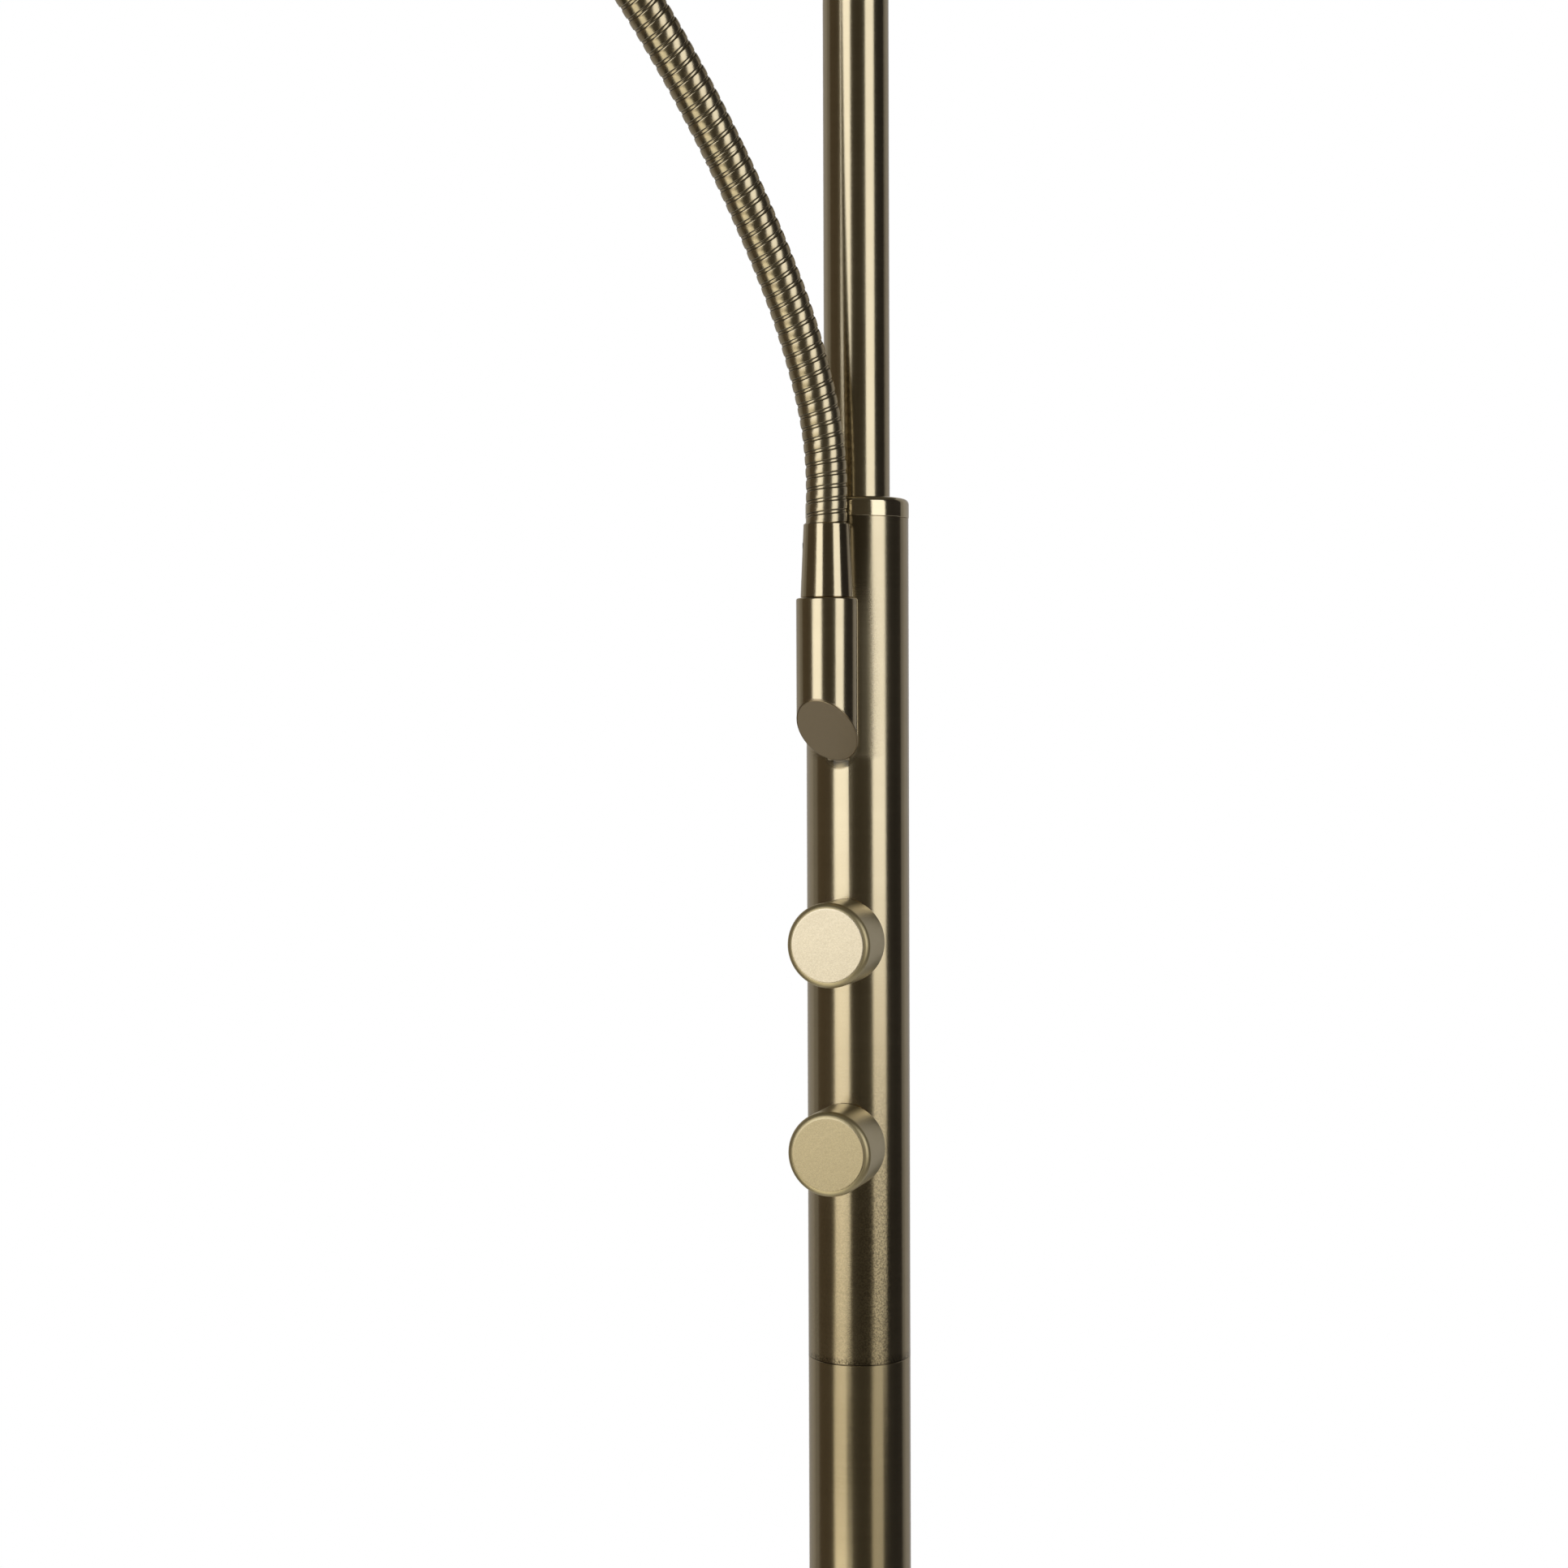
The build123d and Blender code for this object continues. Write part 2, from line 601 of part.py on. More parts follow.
neck_foot = outward(HOLDER_SIDE_ANGLE) * holder_distance + Vector(0, 0, neck_start_height)
lean_direction = outward(NECK_SIDE_ANGLE)
bend_axis = Vector(0, 0, 1).cross(lean_direction)


def neck_station(distance):
    """Plane across the neck at a distance along its curve, X on the bend axis and Z along the neck."""
    point = neck_foot
    lean = 0.0
    left = distance
    for length, turn in NECK_BENDS:
        step = min(left, length)
        turned_by = math.radians(turn) * step / length
        chord = step * (math.sin(turned_by / 2) / (turned_by / 2) if turned_by else 1.0)
        along = lean + turned_by / 2
        point = point + lean_direction * (chord * math.sin(along)) + Vector(0, 0, chord * math.cos(along))
        lean += turned_by
        left -= step
    direction = lean_direction * math.sin(lean) + Vector(0, 0, math.cos(lean))
    return Plane(point, x_dir=bend_axis, z_dir=direction)


def bend_relief():
    """Waste above a span's end: a roof whose slopes let the next span bend both ways."""
    reach = NECK_DIAMETER
    open_drop = reach * math.tan(math.radians(SPAN_OPEN_ANGLE / 2 + SPAN_ANGLE_MARGIN))
    close_drop = reach * math.tan(math.radians(SPAN_CLOSE_ANGLE / 2 + SPAN_ANGLE_MARGIN))
    corners = [
        (-reach, -SPAN_END_GAP - close_drop),
        (0, -SPAN_END_GAP),
        (reach, -SPAN_END_GAP - open_drop),
        (reach, reach),
        (-reach, reach),
    ]
    outline = make_face(Polyline(*corners, close=True))
    return extrude(Plane.YZ * outline, reach, both=True)


def neck_span(index):
    """One ribbed span: ruled ribs of four circles each, bored, and relieved where it meets the next span."""
    crest = NECK_DIAMETER / 2
    root = crest - RIB_GROOVE_DEPTH
    shoulder = crest - RIB_SHOULDER_DROP
    profile = ((0.0, root), (RIB_GROOVE_SHARE, shoulder), (0.5, crest), (1 - RIB_GROOVE_SHARE, shoulder))
    first_rib = index * ribs_per_span
    rings = []
    bores = []
    for rib in range(first_rib, first_rib + ribs_per_span):
        bores.append(neck_station(rib * rib_pitch) * Circle(NECK_BORE / 2))
        for share, radius in profile:
            rings.append(neck_station((rib + share) * rib_pitch) * Circle(radius))
    start = neck_station(first_rib * rib_pitch)
    end = neck_station((first_rib + ribs_per_span) * rib_pitch)
    rings.append(end * Circle(root))
    bores.append(end * Circle(NECK_BORE / 2))
    span = loft(rings, ruled=True) - loft(bores, ruled=True)
    if index < NECK_SPAN_COUNT - 1:
        span -= end * bend_relief()
    if index > 0:
        span -= start * mirror(bend_relief(), about=Plane.XY)
    return span


def neck_wire():
    """Wire from the control board through the holder and the whole neck into the reading head."""
    start = outward(HOLDER_SIDE_ANGLE) * (wire_radius + LOOSE_GAP)
    turn = outward(HOLDER_SIDE_ANGLE) * holder_distance
    corners = [
        start + Vector(0, 0, board_top - 2 * WIRE_DIAMETER),
        start + Vector(0, 0, wire_hole_height),
        turn + Vector(0, 0, wire_hole_height),
        neck_foot,
    ]
    edges = list(FilletPolyline(*corners, radius=WIRE_BEND_RADIUS).edges())
    reached = 0.0
    for length, turn_angle in NECK_BENDS:
        here = neck_station(reached)
        there = neck_station(reached + length)
        if turn_angle:
            edges.append(TangentArc(here.origin, there.origin, tangent=here.z_dir))
        else:
            edges.append(Line(here.origin, there.origin))
        reached += length
    tip = neck_station(neck_length)
    wire_end = tip.origin + tip.z_dir * (FERRULE_LENGTH + FERRULE_SCREW_REACH + LOOSE_GAP)
    edges.append(Line(tip.origin, wire_end))
    return swept_wire(Wire(edges))


ferrule_place = Pos(*(neck_foot - Vector(0, 0, FERRULE_LENGTH)))
neck_tip = neck_station(neck_length)
head_origin = neck_tip.origin + neck_tip.z_dir * FERRULE_LENGTH
head_ferrule_place = Plane(head_origin, x_dir=bend_axis, z_dir=-neck_tip.z_dir)
head_place = Plane(head_origin, x_dir=bend_axis, z_dir=neck_tip.z_dir)
write("neck_holder", neck_holder())
write("neck_ferrule", ferrule_place * ferrule(GRUB_SIDE_ANGLE))
write("neck_grub_screw", ferrule_place * grub_screw(GRUB_SIDE_ANGLE, 0))
for index in range(NECK_SPAN_COUNT):
    write("neck_span_" + str(index + 1), neck_span(index))
write("neck_wire", neck_wire())
write("head_ferrule", head_ferrule_place * ferrule(0))
write("head_grub_screw", head_ferrule_place * grub_screw(0, 0))


# Reading head, drawn along +Z from its back and then set on the end of the neck
sink_top = SINK_HEIGHT + SINK_PLATE_THICKNESS
head_board_top = sink_top + HEAD_BOARD_THICKNESS
head_ring_top = HEAD_LENGTH - HEAD_RING_RECESS
lens_top = head_ring_top - HEAD_RING_LENGTH
lens_bottom = lens_top - LENS_THICKNESS
head_bore_radius = HEAD_DIAMETER / 2 - HEAD_SKIN


def head_form(radius, back_radius, back, front):
    """Bullet shape: flat back, rounded shoulder and straight side."""
    shoulder = HEAD_SHOULDER_LENGTH
    side = Polyline((back_radius, back), (0, back), (0, front), (radius, front), (radius, shoulder))
    curve = EllipticalCenterArc(
        (back_radius, shoulder),
        radius - back_radius,
        shoulder - back,
        start_angle=-90,
        arc_size=90,
    )
    return revolve(Plane.XZ * make_face(side + curve), Axis.Z)


def head_shell():
    """Spun shell, open at the front, with a hole for the ferrule's screw end."""
    back = HEAD_BACK_DIAMETER / 2
    shell = head_form(HEAD_DIAMETER / 2, back, 0, HEAD_LENGTH)
    shell -= head_form(head_bore_radius, back, HEAD_SKIN, HEAD_LENGTH)
    return shell - upright(stud_radius + PRESS_GAP, 0, HEAD_SKIN)


def head_heat_sink():
    """Round plate with straight fins behind it."""
    plate = upright(head_bore_radius - LOOSE_GAP, SINK_HEIGHT, sink_top)
    pitch = SINK_FIN_DIAMETER / SINK_FIN_COUNT
    fins = upright(SINK_FIN_DIAMETER / 2, SINK_HEIGHT - SINK_FIN_LENGTH, SINK_HEIGHT)
    kept = None
    for number in range(SINK_FIN_COUNT):
        middle = (number - (SINK_FIN_COUNT - 1) / 2) * pitch
        blade = block(SINK_FIN_THICKNESS, SINK_FIN_DIAMETER, SINK_HEIGHT - SINK_FIN_LENGTH, SINK_HEIGHT)
        blade = Pos(middle, 0, 0) * blade
        kept = blade if kept is None else kept + blade
    return plate + (fins & kept)


def head_reflector():
    """Thin cone from the diode's edge to the lens."""
    throat = REFLECTOR_THROAT / 2
    mouth = REFLECTOR_MOUTH / 2
    corners = [
        (throat - REFLECTOR_SKIN, head_board_top),
        (throat, head_board_top),
        (mouth, lens_bottom),
        (mouth - REFLECTOR_SKIN, lens_bottom),
    ]
    return turned(corners)


head_nut_top = HEAD_SKIN + HEAD_NUT_HEIGHT
write("head_shell", head_place * head_shell())
write("head_nut", head_place * hexagon_nut(HEAD_NUT_WIDTH, thread_radius, HEAD_SKIN, head_nut_top))
write("head_heat_sink", head_place * head_heat_sink())
write("head_led_board", head_place * upright(HEAD_BOARD_DIAMETER / 2, sink_top, head_board_top))
led_disc = upright(HEAD_LED_DIAMETER / 2, head_board_top, head_board_top + HEAD_LED_THICKNESS)
write("head_led", head_place * led_disc)
write("head_reflector", head_place * head_reflector())
write("head_lens", head_place * upright(head_bore_radius - LOOSE_GAP, lens_bottom, lens_top))
head_ring = tube(head_bore_radius - PRESS_GAP, HEAD_RING_BORE / 2, lens_top, head_ring_top)
write("head_ring", head_place * head_ring)


# Uplight
def dish_form(inset, top):
    """Shallow dish: flat middle, one sweeping curve and an upright rim, inset for the inside."""
    flat = DISH_FLAT_DIAMETER / 2
    width = DISH_DIAMETER / 2 - flat
    curve_top = DISH_DEPTH - DISH_RIM_HEIGHT
    sweep_radius = (width**2 + curve_top**2) / (2 * curve_top)
    inner_width = width - inset
    edge = sweep_radius - math.sqrt((sweep_radius - inset) ** 2 - inner_width**2)
    rim = DISH_DIAMETER / 2 - inset
    curve = TangentArc((flat, inset), (rim, edge), tangent=(1, 0))
    side = Polyline((rim, edge), (rim, top), (0, top), (0, inset), (flat, inset))
    return revolve(Plane.XZ * make_face(curve + side), Axis.Z)


def dish_shell():
    """Spun dish with a hole for the stud."""
    shell = dish_form(0, DISH_DEPTH) - dish_form(DISH_SKIN, DISH_DEPTH)
    shell = Pos(0, 0, dish_bottom) * shell
    return shell - upright(DISH_STUD_DIAMETER / 2 + LOOSE_GAP, dish_bottom, dish_floor)


def dish_hub():
    """Turned hub that flares from the pole to the dish."""
    foot = (upper_pole_radius, 0)
    brim = (HUB_DIAMETER / 2, HUB_HEIGHT)
    flare = RadiusArc(foot, brim, HUB_FLARE_RADIUS)
    hole = DISH_STUD_DIAMETER / 2 + LOOSE_GAP
    rest = Polyline(brim, (hole, HUB_HEIGHT), (hole, 0), foot)
    return Pos(0, 0, hub_bottom) * revolve(Plane.XZ * make_face(flare + rest), Axis.Z)


def dish_ring():
    """Ring that laps over the diffuser and hangs down outside the rim."""
    inside = DISH_DIAMETER / 2 + PRESS_GAP
    outside = inside + DISH_RING_SKIN
    flange_bottom = LAMP_HEIGHT - DISH_RING_FLANGE
    lip = DISH_DIAMETER / 2 - DISH_RING_LAP
    ring = tube(outside, lip, flange_bottom, LAMP_HEIGHT)
    ring += tube(outside, inside, flange_bottom - DISH_RING_SKIRT, flange_bottom)
    return fillet(ring.edges().group_by(Axis.Z)[-1], DISH_RING_SKIN / 2)


def standoff():
    """Post between the dish's floor and the carrier, bored for a screw."""
    hole_bottom = carrier_top - CARRIER_SCREW_LENGTH - LOOSE_GAP
    hole = upright(CARRIER_SCREW_DIAMETER / 2 + SCREW_GAP, hole_bottom, carrier_top)
    return upright(STANDOFF_DIAMETER / 2, dish_floor, carrier_bottom) - hole


def carrier_screw():
    """Screw with a round head on the carrier."""
    shank = upright(CARRIER_SCREW_DIAMETER / 2, carrier_top - CARRIER_SCREW_LENGTH, carrier_top)
    return shank + upright(CARRIER_SCREW_HEAD / 2, carrier_top, carrier_top + CARRIER_SCREW_HEAD_HEIGHT)


def led_carrier():
    """Aluminium disc drilled for its screws."""
    disc = upright(CARRIER_DIAMETER / 2, carrier_bottom, carrier_top)
    hole = upright(CARRIER_SCREW_DIAMETER / 2 + SCREW_GAP, carrier_bottom, carrier_top)
    for place in around(STANDOFF_COUNT, STANDOFF_CIRCLE / 2):
        disc -= place * hole
    return disc


plug_bottom = hub_bottom - PLUG_LENGTH
dish_stud_top = dish_floor + DISH_NUT_HEIGHT
dish_thread_radius = DISH_STUD_DIAMETER / 2 + SCREW_GAP
led_chip = block(LED_WIDTH, LED_WIDTH, led_board_top, led_board_top + LED_HEIGHT)
upper_pole_plug = tube(upper_pole_bore_radius - PRESS_GAP, dish_thread_radius, plug_bottom, hub_bottom)
write("upper_pole_plug", upper_pole_plug)
write("dish_hub", dish_hub())
dish_stud_bottom = hub_bottom - DISH_STUD_REACH
write("dish_stud", hollow_stud(DISH_STUD_DIAMETER, DISH_STUD_BORE, dish_stud_bottom, dish_stud_top))
write("dish_nut", hexagon_nut(DISH_NUT_WIDTH, dish_thread_radius, dish_floor, dish_stud_top))
write("dish_shell", dish_shell())
write("dish_standoffs", *[place * standoff() for place in around(STANDOFF_COUNT, STANDOFF_CIRCLE / 2)])
write("led_carrier", led_carrier())
write("carrier_screws", *[place * carrier_screw() for place in around(STANDOFF_COUNT, STANDOFF_CIRCLE / 2)])
write("led_ring_board", tube(LED_BOARD_OUTER / 2, LED_BOARD_INNER / 2, carrier_top, led_board_top))
write("led_chips", *[place * led_chip for place in around(LED_COUNT, LED_CIRCLE / 2)])
write("dish_diffuser", upright(DISH_DIAMETER / 2, dish_rim_top, dish_rim_top + DIFFUSER_THICKNESS))
write("dish_ring", dish_ring())
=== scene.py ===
import math
import bpy
from mathutils import Matrix, Vector


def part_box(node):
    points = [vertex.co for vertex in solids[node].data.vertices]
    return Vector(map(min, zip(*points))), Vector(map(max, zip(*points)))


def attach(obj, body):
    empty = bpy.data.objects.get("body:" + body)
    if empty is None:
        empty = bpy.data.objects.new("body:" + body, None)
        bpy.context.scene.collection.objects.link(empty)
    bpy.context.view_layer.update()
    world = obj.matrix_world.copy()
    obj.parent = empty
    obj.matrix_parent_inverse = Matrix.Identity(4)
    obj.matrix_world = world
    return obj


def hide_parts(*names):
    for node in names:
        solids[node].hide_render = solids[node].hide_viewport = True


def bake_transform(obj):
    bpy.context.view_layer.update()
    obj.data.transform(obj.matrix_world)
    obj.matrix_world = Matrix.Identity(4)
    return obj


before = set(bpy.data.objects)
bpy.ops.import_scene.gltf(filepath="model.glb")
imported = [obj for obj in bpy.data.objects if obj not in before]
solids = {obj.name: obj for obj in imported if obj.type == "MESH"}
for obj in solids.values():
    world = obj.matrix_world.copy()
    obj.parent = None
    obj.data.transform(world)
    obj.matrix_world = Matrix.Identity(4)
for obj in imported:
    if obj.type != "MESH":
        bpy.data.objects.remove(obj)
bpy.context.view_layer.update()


# Foot cover and pole
# Steel sheet spun for the foot and steel tube for the pole, plated an antique bronze, brushed round on the
# lathe and lacquered. The tubes screw together end to end and stand on the foot.
def add(tree, kind, inputs=None, **settings):
    """Adds a node, sets its properties, and sets or links its inputs."""
    made = tree.nodes.new(kind)
    for name, value in settings.items():
        setattr(made, name, value)
    for key, value in (inputs or {}).items():
        if isinstance(value, bpy.types.NodeSocket):
            tree.links.new(value, made.inputs[key])
        else:
            made.inputs[key].default_value = value
    return made


def effect(name, inputs, outputs):
    """Starts a shader node group with named inputs and outputs."""
    tree = bpy.data.node_groups.new(name, "ShaderNodeTree")
    for socket, (kind, default) in inputs.items():
        made = tree.interface.new_socket(socket, in_out="INPUT", socket_type=kind)
        if default is not None:
            made.default_value = default
    for socket, kind in outputs.items():
        tree.interface.new_socket(socket, in_out="OUTPUT", socket_type=kind)
    return tree, tree.nodes.new("NodeGroupInput").outputs, tree.nodes.new("NodeGroupOutput").inputs


def maths(tree, operation, first, second=0.0, clamp=False):
    """Adds a math node and returns its value."""
    made = add(tree, "ShaderNodeMath", {0: first, 1: second}, operation=operation, use_clamp=clamp)
    return made.outputs[0]


def total(tree, first, *others):
    """Sum of values."""
    for other in others:
        first = maths(tree, "ADD", first, other)
    return first


def times(tree, first, *others):
    """Product of values."""
    for other in others:
        first = maths(tree, "MULTIPLY", first, other)
    return first


def vectors(tree, operation, inputs):
    """Adds a vector math node and returns its vector, or its value where the operation gives one."""
    made = add(tree, "ShaderNodeVectorMath", inputs, operation=operation)
    gives_value = operation in ("LENGTH", "DISTANCE", "DOT_PRODUCT")
    return made.outputs["Value" if gives_value else "Vector"]


def noise(tree, vector, scale, detail=2.0, roughness=0.5):
    """Adds a noise texture and returns its value."""
    inputs = {"Vector": vector, "Scale": scale, "Detail": detail, "Roughness": roughness}
    return add(tree, "ShaderNodeTexNoise", inputs).outputs["Fac"]


def blend_colour(tree, share, first, second):
    """Mixes two colours by a value."""
    made = add(tree, "ShaderNodeMix", {0: share, 6: first, 7: second}, data_type="RGBA")
    return made.outputs[2]


FLOAT = "NodeSocketFloat"
VECTOR = "NodeSocketVector"
BAND_STRETCH = (0.6, 0.6, 0.035)
STREAK_STRETCH = (20.0, 20.0, 1.0)

# Marks of a brush held against a turning piece: lines that run round the Z axis of the vector given
round_brush, given, result = effect(
    "round_brush",
    {"Vector": (VECTOR, None), "Density": (FLOAT, 2500.0), "Run": (FLOAT, 0.4)},
    {"Marks": FLOAT, "Bands": FLOAT, "Streaks": FLOAT},
)
axes = add(round_brush, "ShaderNodeSeparateXYZ", {0: given["Vector"]}).outputs
level = add(round_brush, "ShaderNodeCombineXYZ", {0: axes[0], 1: axes[1]}).outputs[0]
radius = vectors(round_brush, "LENGTH", {0: level})
around = vectors(round_brush, "NORMALIZE", {0: level})
profile = total(round_brush, radius, axes[2])
lines = times(round_brush, profile, given["Density"])
swept = vectors(round_brush, "SCALE", {0: around, "Scale": given["Run"]})
line_offset = add(round_brush, "ShaderNodeCombineXYZ", {2: lines}).outputs[0]
fine = vectors(round_brush, "ADD", {0: swept, 1: line_offset})
coarse = vectors(round_brush, "MULTIPLY", {0: fine, 1: BAND_STRETCH})
short = vectors(round_brush, "MULTIPLY", {0: fine, 1: STREAK_STRETCH})
round_brush.links.new(noise(round_brush, fine, scale=1.0, detail=3.0, roughness=0.6), result["Marks"])
round_brush.links.new(noise(round_brush, coarse, scale=1.0), result["Bands"])
round_brush.links.new(noise(round_brush, short, scale=1.0), result["Streaks"])

# Lacquer: slow clouds where it lies thicker, and fine specks in it
lacquer, given, result = effect(
    "lacquer",
    {"Vector": (VECTOR, None), "Cloud Scale": (FLOAT, 25.0), "Speck Scale": (FLOAT, 4200.0)},
    {"Clouds": FLOAT, "Specks": FLOAT},
)
clouds = noise(lacquer, given["Vector"], given["Cloud Scale"], detail=3.0, roughness=0.55)
specks = noise(lacquer, given["Vector"], given["Speck Scale"], detail=1.0)
lacquer.links.new(clouds, result["Clouds"])
lacquer.links.new(specks, result["Specks"])


def new_finish(name, **constants):
    """Starts a material whose even values are set straight on its shader."""
    material = bpy.data.materials.new(name)
    material.use_nodes = True
    shader = material.node_tree.nodes["Principled BSDF"]
    for socket, value in constants.items():
        shader.inputs[socket.replace("_", " ")].default_value = value
    return material, material.node_tree, shader.inputs


def piece_place(tree, origin=(0, 0, 0), turn=(0, 0, 0)):
    """Object coordinates seen from a piece's own axis."""
    here = add(tree, "ShaderNodeTexCoord").outputs["Object"]
    inputs = {"Vector": here, "Location": origin, "Rotation": turn}
    return add(tree, "ShaderNodeMapping", inputs, vector_type="TEXTURE").outputs[0]


def raised(tree, height, distance):
    """Bump from a height, as a normal."""
    inputs = {"Height": height, "Distance": distance, "Strength": 1.0}
    return add(tree, "ShaderNodeBump", inputs).outputs[0]


BRONZE = ((0.4, 0.33, 0.205, 1), (0.5, 0.42, 0.275, 1))
NOISE_MIDDLE = 0.5
MARKS_IN_TONE = 0.5
BANDS_IN_TONE = 0.4
MARKS_IN_ROUGHNESS = 0.1
CLOUDS_IN_ROUGHNESS = 0.08
MARKS_IN_RELIEF = 0.5
STREAKS_IN_RELIEF = 0.25
SPECKS_IN_RELIEF = 0.55
BRONZE_RELIEF = 0.00001


def bronze(
    name, origin=(0, 0, 0), turn=(0, 0, 0), density=5000.0, roughness=0.18, shades=BRONZE, worn=None
):
    """Brushed, plated and lacquered bronze turned about its own Z axis, which a function may wear."""
    material, tree, shader = new_finish(
        name, Metallic=1.0, Coat_Weight=0.4, Coat_Roughness=0.1, Coat_IOR=1.5
    )
    place = piece_place(tree, origin, turn)
    brush = add(tree, "ShaderNodeGroup", {"Vector": place, "Density": density}, node_tree=round_brush)
    coat = add(tree, "ShaderNodeGroup", {"Vector": place}, node_tree=lacquer)
    marks = maths(tree, "SUBTRACT", brush.outputs["Marks"], NOISE_MIDDLE)
    bands = maths(tree, "SUBTRACT", brush.outputs["Bands"], NOISE_MIDDLE)
    clouds = maths(tree, "SUBTRACT", coat.outputs["Clouds"], NOISE_MIDDLE)
    tone = total(tree, times(tree, marks, MARKS_IN_TONE), times(tree, bands, BANDS_IN_TONE))
    colour = blend_colour(tree, maths(tree, "ADD", tone, NOISE_MIDDLE, clamp=True), *shades)
    uneven = total(tree, times(tree, marks, MARKS_IN_ROUGHNESS), times(tree, clouds, CLOUDS_IN_ROUGHNESS))
    rough = total(tree, uneven, roughness)
    streaks = times(tree, brush.outputs["Streaks"], STREAKS_IN_RELIEF)
    specks = times(tree, coat.outputs["Specks"], SPECKS_IN_RELIEF)
    height = total(tree, times(tree, marks, MARKS_IN_RELIEF), streaks, specks)
    if worn:
        tint, share, rougher, relief = worn(tree, place)
        colour = blend_colour(tree, share, colour, tint)
        rough = total(tree, rough, rougher)
        height = total(tree, height, relief)
    tree.links.new(colour, shader["Base Color"])
    tree.links.new(rough, shader["Roughness"])
    tree.links.new(raised(tree, height, BRONZE_RELIEF), shader["Normal"])
    return material


def dress(material, *names):
    """Gives a finish to solids."""
    for name in names:
        solids[name].material_slots[0].material = material


dress(bronze("foot_bronze", density=1600.0, roughness=0.24), "base_cover")
dress(bronze("pole_bronze"), "lower_pole", "middle_pole", "upper_pole")

# Control tube
# The tube that holds both dimmers is brushed with the pole. Its lacquer is grainy from the knobs down and
# over the lower seam, and rough round the brazed joint of the neck's holder. Shade is painted on it beside
# the holder and ferrule, and as a dark line in the lower seam. A bead of the brazing metal lies below the
# holder's tip, painted dark as shade there.
HOLDER_SIDE_ANGLE = math.radians(6.0)
HOLDER_CUT_DROP = 0.0516
HOLDER_RADIUS = 0.0073
POLE_RADIUS = 0.0125
control_bottom, control_top = (corner.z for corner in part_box("control_tube"))
holder_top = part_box("neck_holder")[1].z
holder_outward = Vector((-math.sin(HOLDER_SIDE_ANGLE), -math.cos(HOLDER_SIDE_ANGLE), 0))


def ramp(tree, value, start, end, low=0.0, high=1.0):
    """Value that goes smoothly from low to high while another goes from start to end."""
    inputs = {0: value, 1: start, 2: end, 3: low, 4: high}
    return add(tree, "ShaderNodeMapRange", inputs, interpolation_type="SMOOTHSTEP").outputs[0]


def greatest(tree, first, *others):
    """Greatest of values."""
    for other in others:
        first = maths(tree, "MAXIMUM", first, other)
    return first


BRAZED_REACH = 0.0115
BRAZED_TIP_FADE = 0.001
BRAZED_TOP_DROP = 0.01
# Painted shade on the tube beside the holder and ferrule, darker toward the ferrule
HOLDER_SHADE_REACH = 0.0073
HOLDER_SHADE_FADE = 0.0008
SHADE_BESIDE_HOLDER = 0.5
SHADE_RISE_START = -0.003
SHADE_RISE_END = 0.004


def brazed_and_shade_masks(tree, place, height):
    """Masks of the rough lacquer round the brazed joint and of the painted shade beside holder and ferrule.
    """
    flat = vectors(tree, "MULTIPLY", {0: place, 1: (1, 1, 0)})
    apart = vectors(tree, "DISTANCE", {0: flat, 1: holder_outward * POLE_RADIUS})
    near = ramp(tree, apart, BRAZED_REACH, BRAZED_REACH / 2)
    tip = control_top - HOLDER_CUT_DROP - POLE_RADIUS / 2
    above_tip = ramp(tree, height, tip - BRAZED_TIP_FADE, tip + BRAZED_TIP_FADE)
    below_top = ramp(tree, height, control_top, holder_top - BRAZED_TOP_DROP)
    rough = times(tree, near, times(tree, above_tip, below_top))
    close = ramp(tree, apart, HOLDER_SHADE_REACH + HOLDER_SHADE_FADE, HOLDER_SHADE_REACH - HOLDER_SHADE_FADE)
    rise_start = holder_top + SHADE_RISE_START
    rising = ramp(tree, height, rise_start, holder_top + SHADE_RISE_END, SHADE_BESIDE_HOLDER)
    return rough, times(tree, close, times(tree, above_tip, rising))


BEAD_INNER_RADIUS = 0.0031
BEAD_WIDTH = 0.0019


def brazed_bead(tree, place):
    """Value that rises from 0 to 1 over the bead of brazing metal below the holder's tip, where shade is
    painted too.
    """
    tip_height = control_top - HOLDER_CUT_DROP - HOLDER_RADIUS
    middle = holder_outward * POLE_RADIUS + Vector((0, 0, tip_height + BEAD_INNER_RADIUS))
    away = vectors(tree, "DISTANCE", {0: place, 1: middle})
    inward = maths(tree, "SUBTRACT", BEAD_INNER_RADIUS + BEAD_WIDTH, away)
    return maths(tree, "MULTIPLY", inward, 1 / BEAD_WIDTH, clamp=True)


LACQUER_GRAIN_AND_SHADE = (0.1, 0.078, 0.046, 1)
GRAIN_TOP = 0.085
GRAIN_BOTTOM = 0.02
GRAIN_FULL_SIDE = 0.007
GRAIN_LEFT_SHARE = 0.25
GRAIN_EDGE_START = 0.0095
GRAIN_EDGE_END = 0.0107
GRAIN_EDGE_SHARE = 0.1
GRAIN_SCALE = 2300.0
GRAIN_THRESHOLD = 0.42
GRAIN_CONTRAST = 5.0
SEAM_GRAIN_TOP = 0.0026
SEAM_GRAIN_FULL = 0.0004
# Height of the painted dark line of shade in the lower seam
SEAM_SHADE_HEIGHT = 0.00035
GRAIN_TINT = 0.7
BRAZED_TINT = 0.35
# Darkness of the painted shade beside the holder and ferrule
HOLDER_SHADE_TINT = 0.6
# Darkness of the painted shade under the holder's tip, over the bead
BEAD_SHADE_TINT = 0.9
PIT_DEPTH = 0.8
BEAD_HEIGHT = 50.0
BRAZED_ROUGHNESS = 0.14
BEAD_ROUGHNESS = 0.3


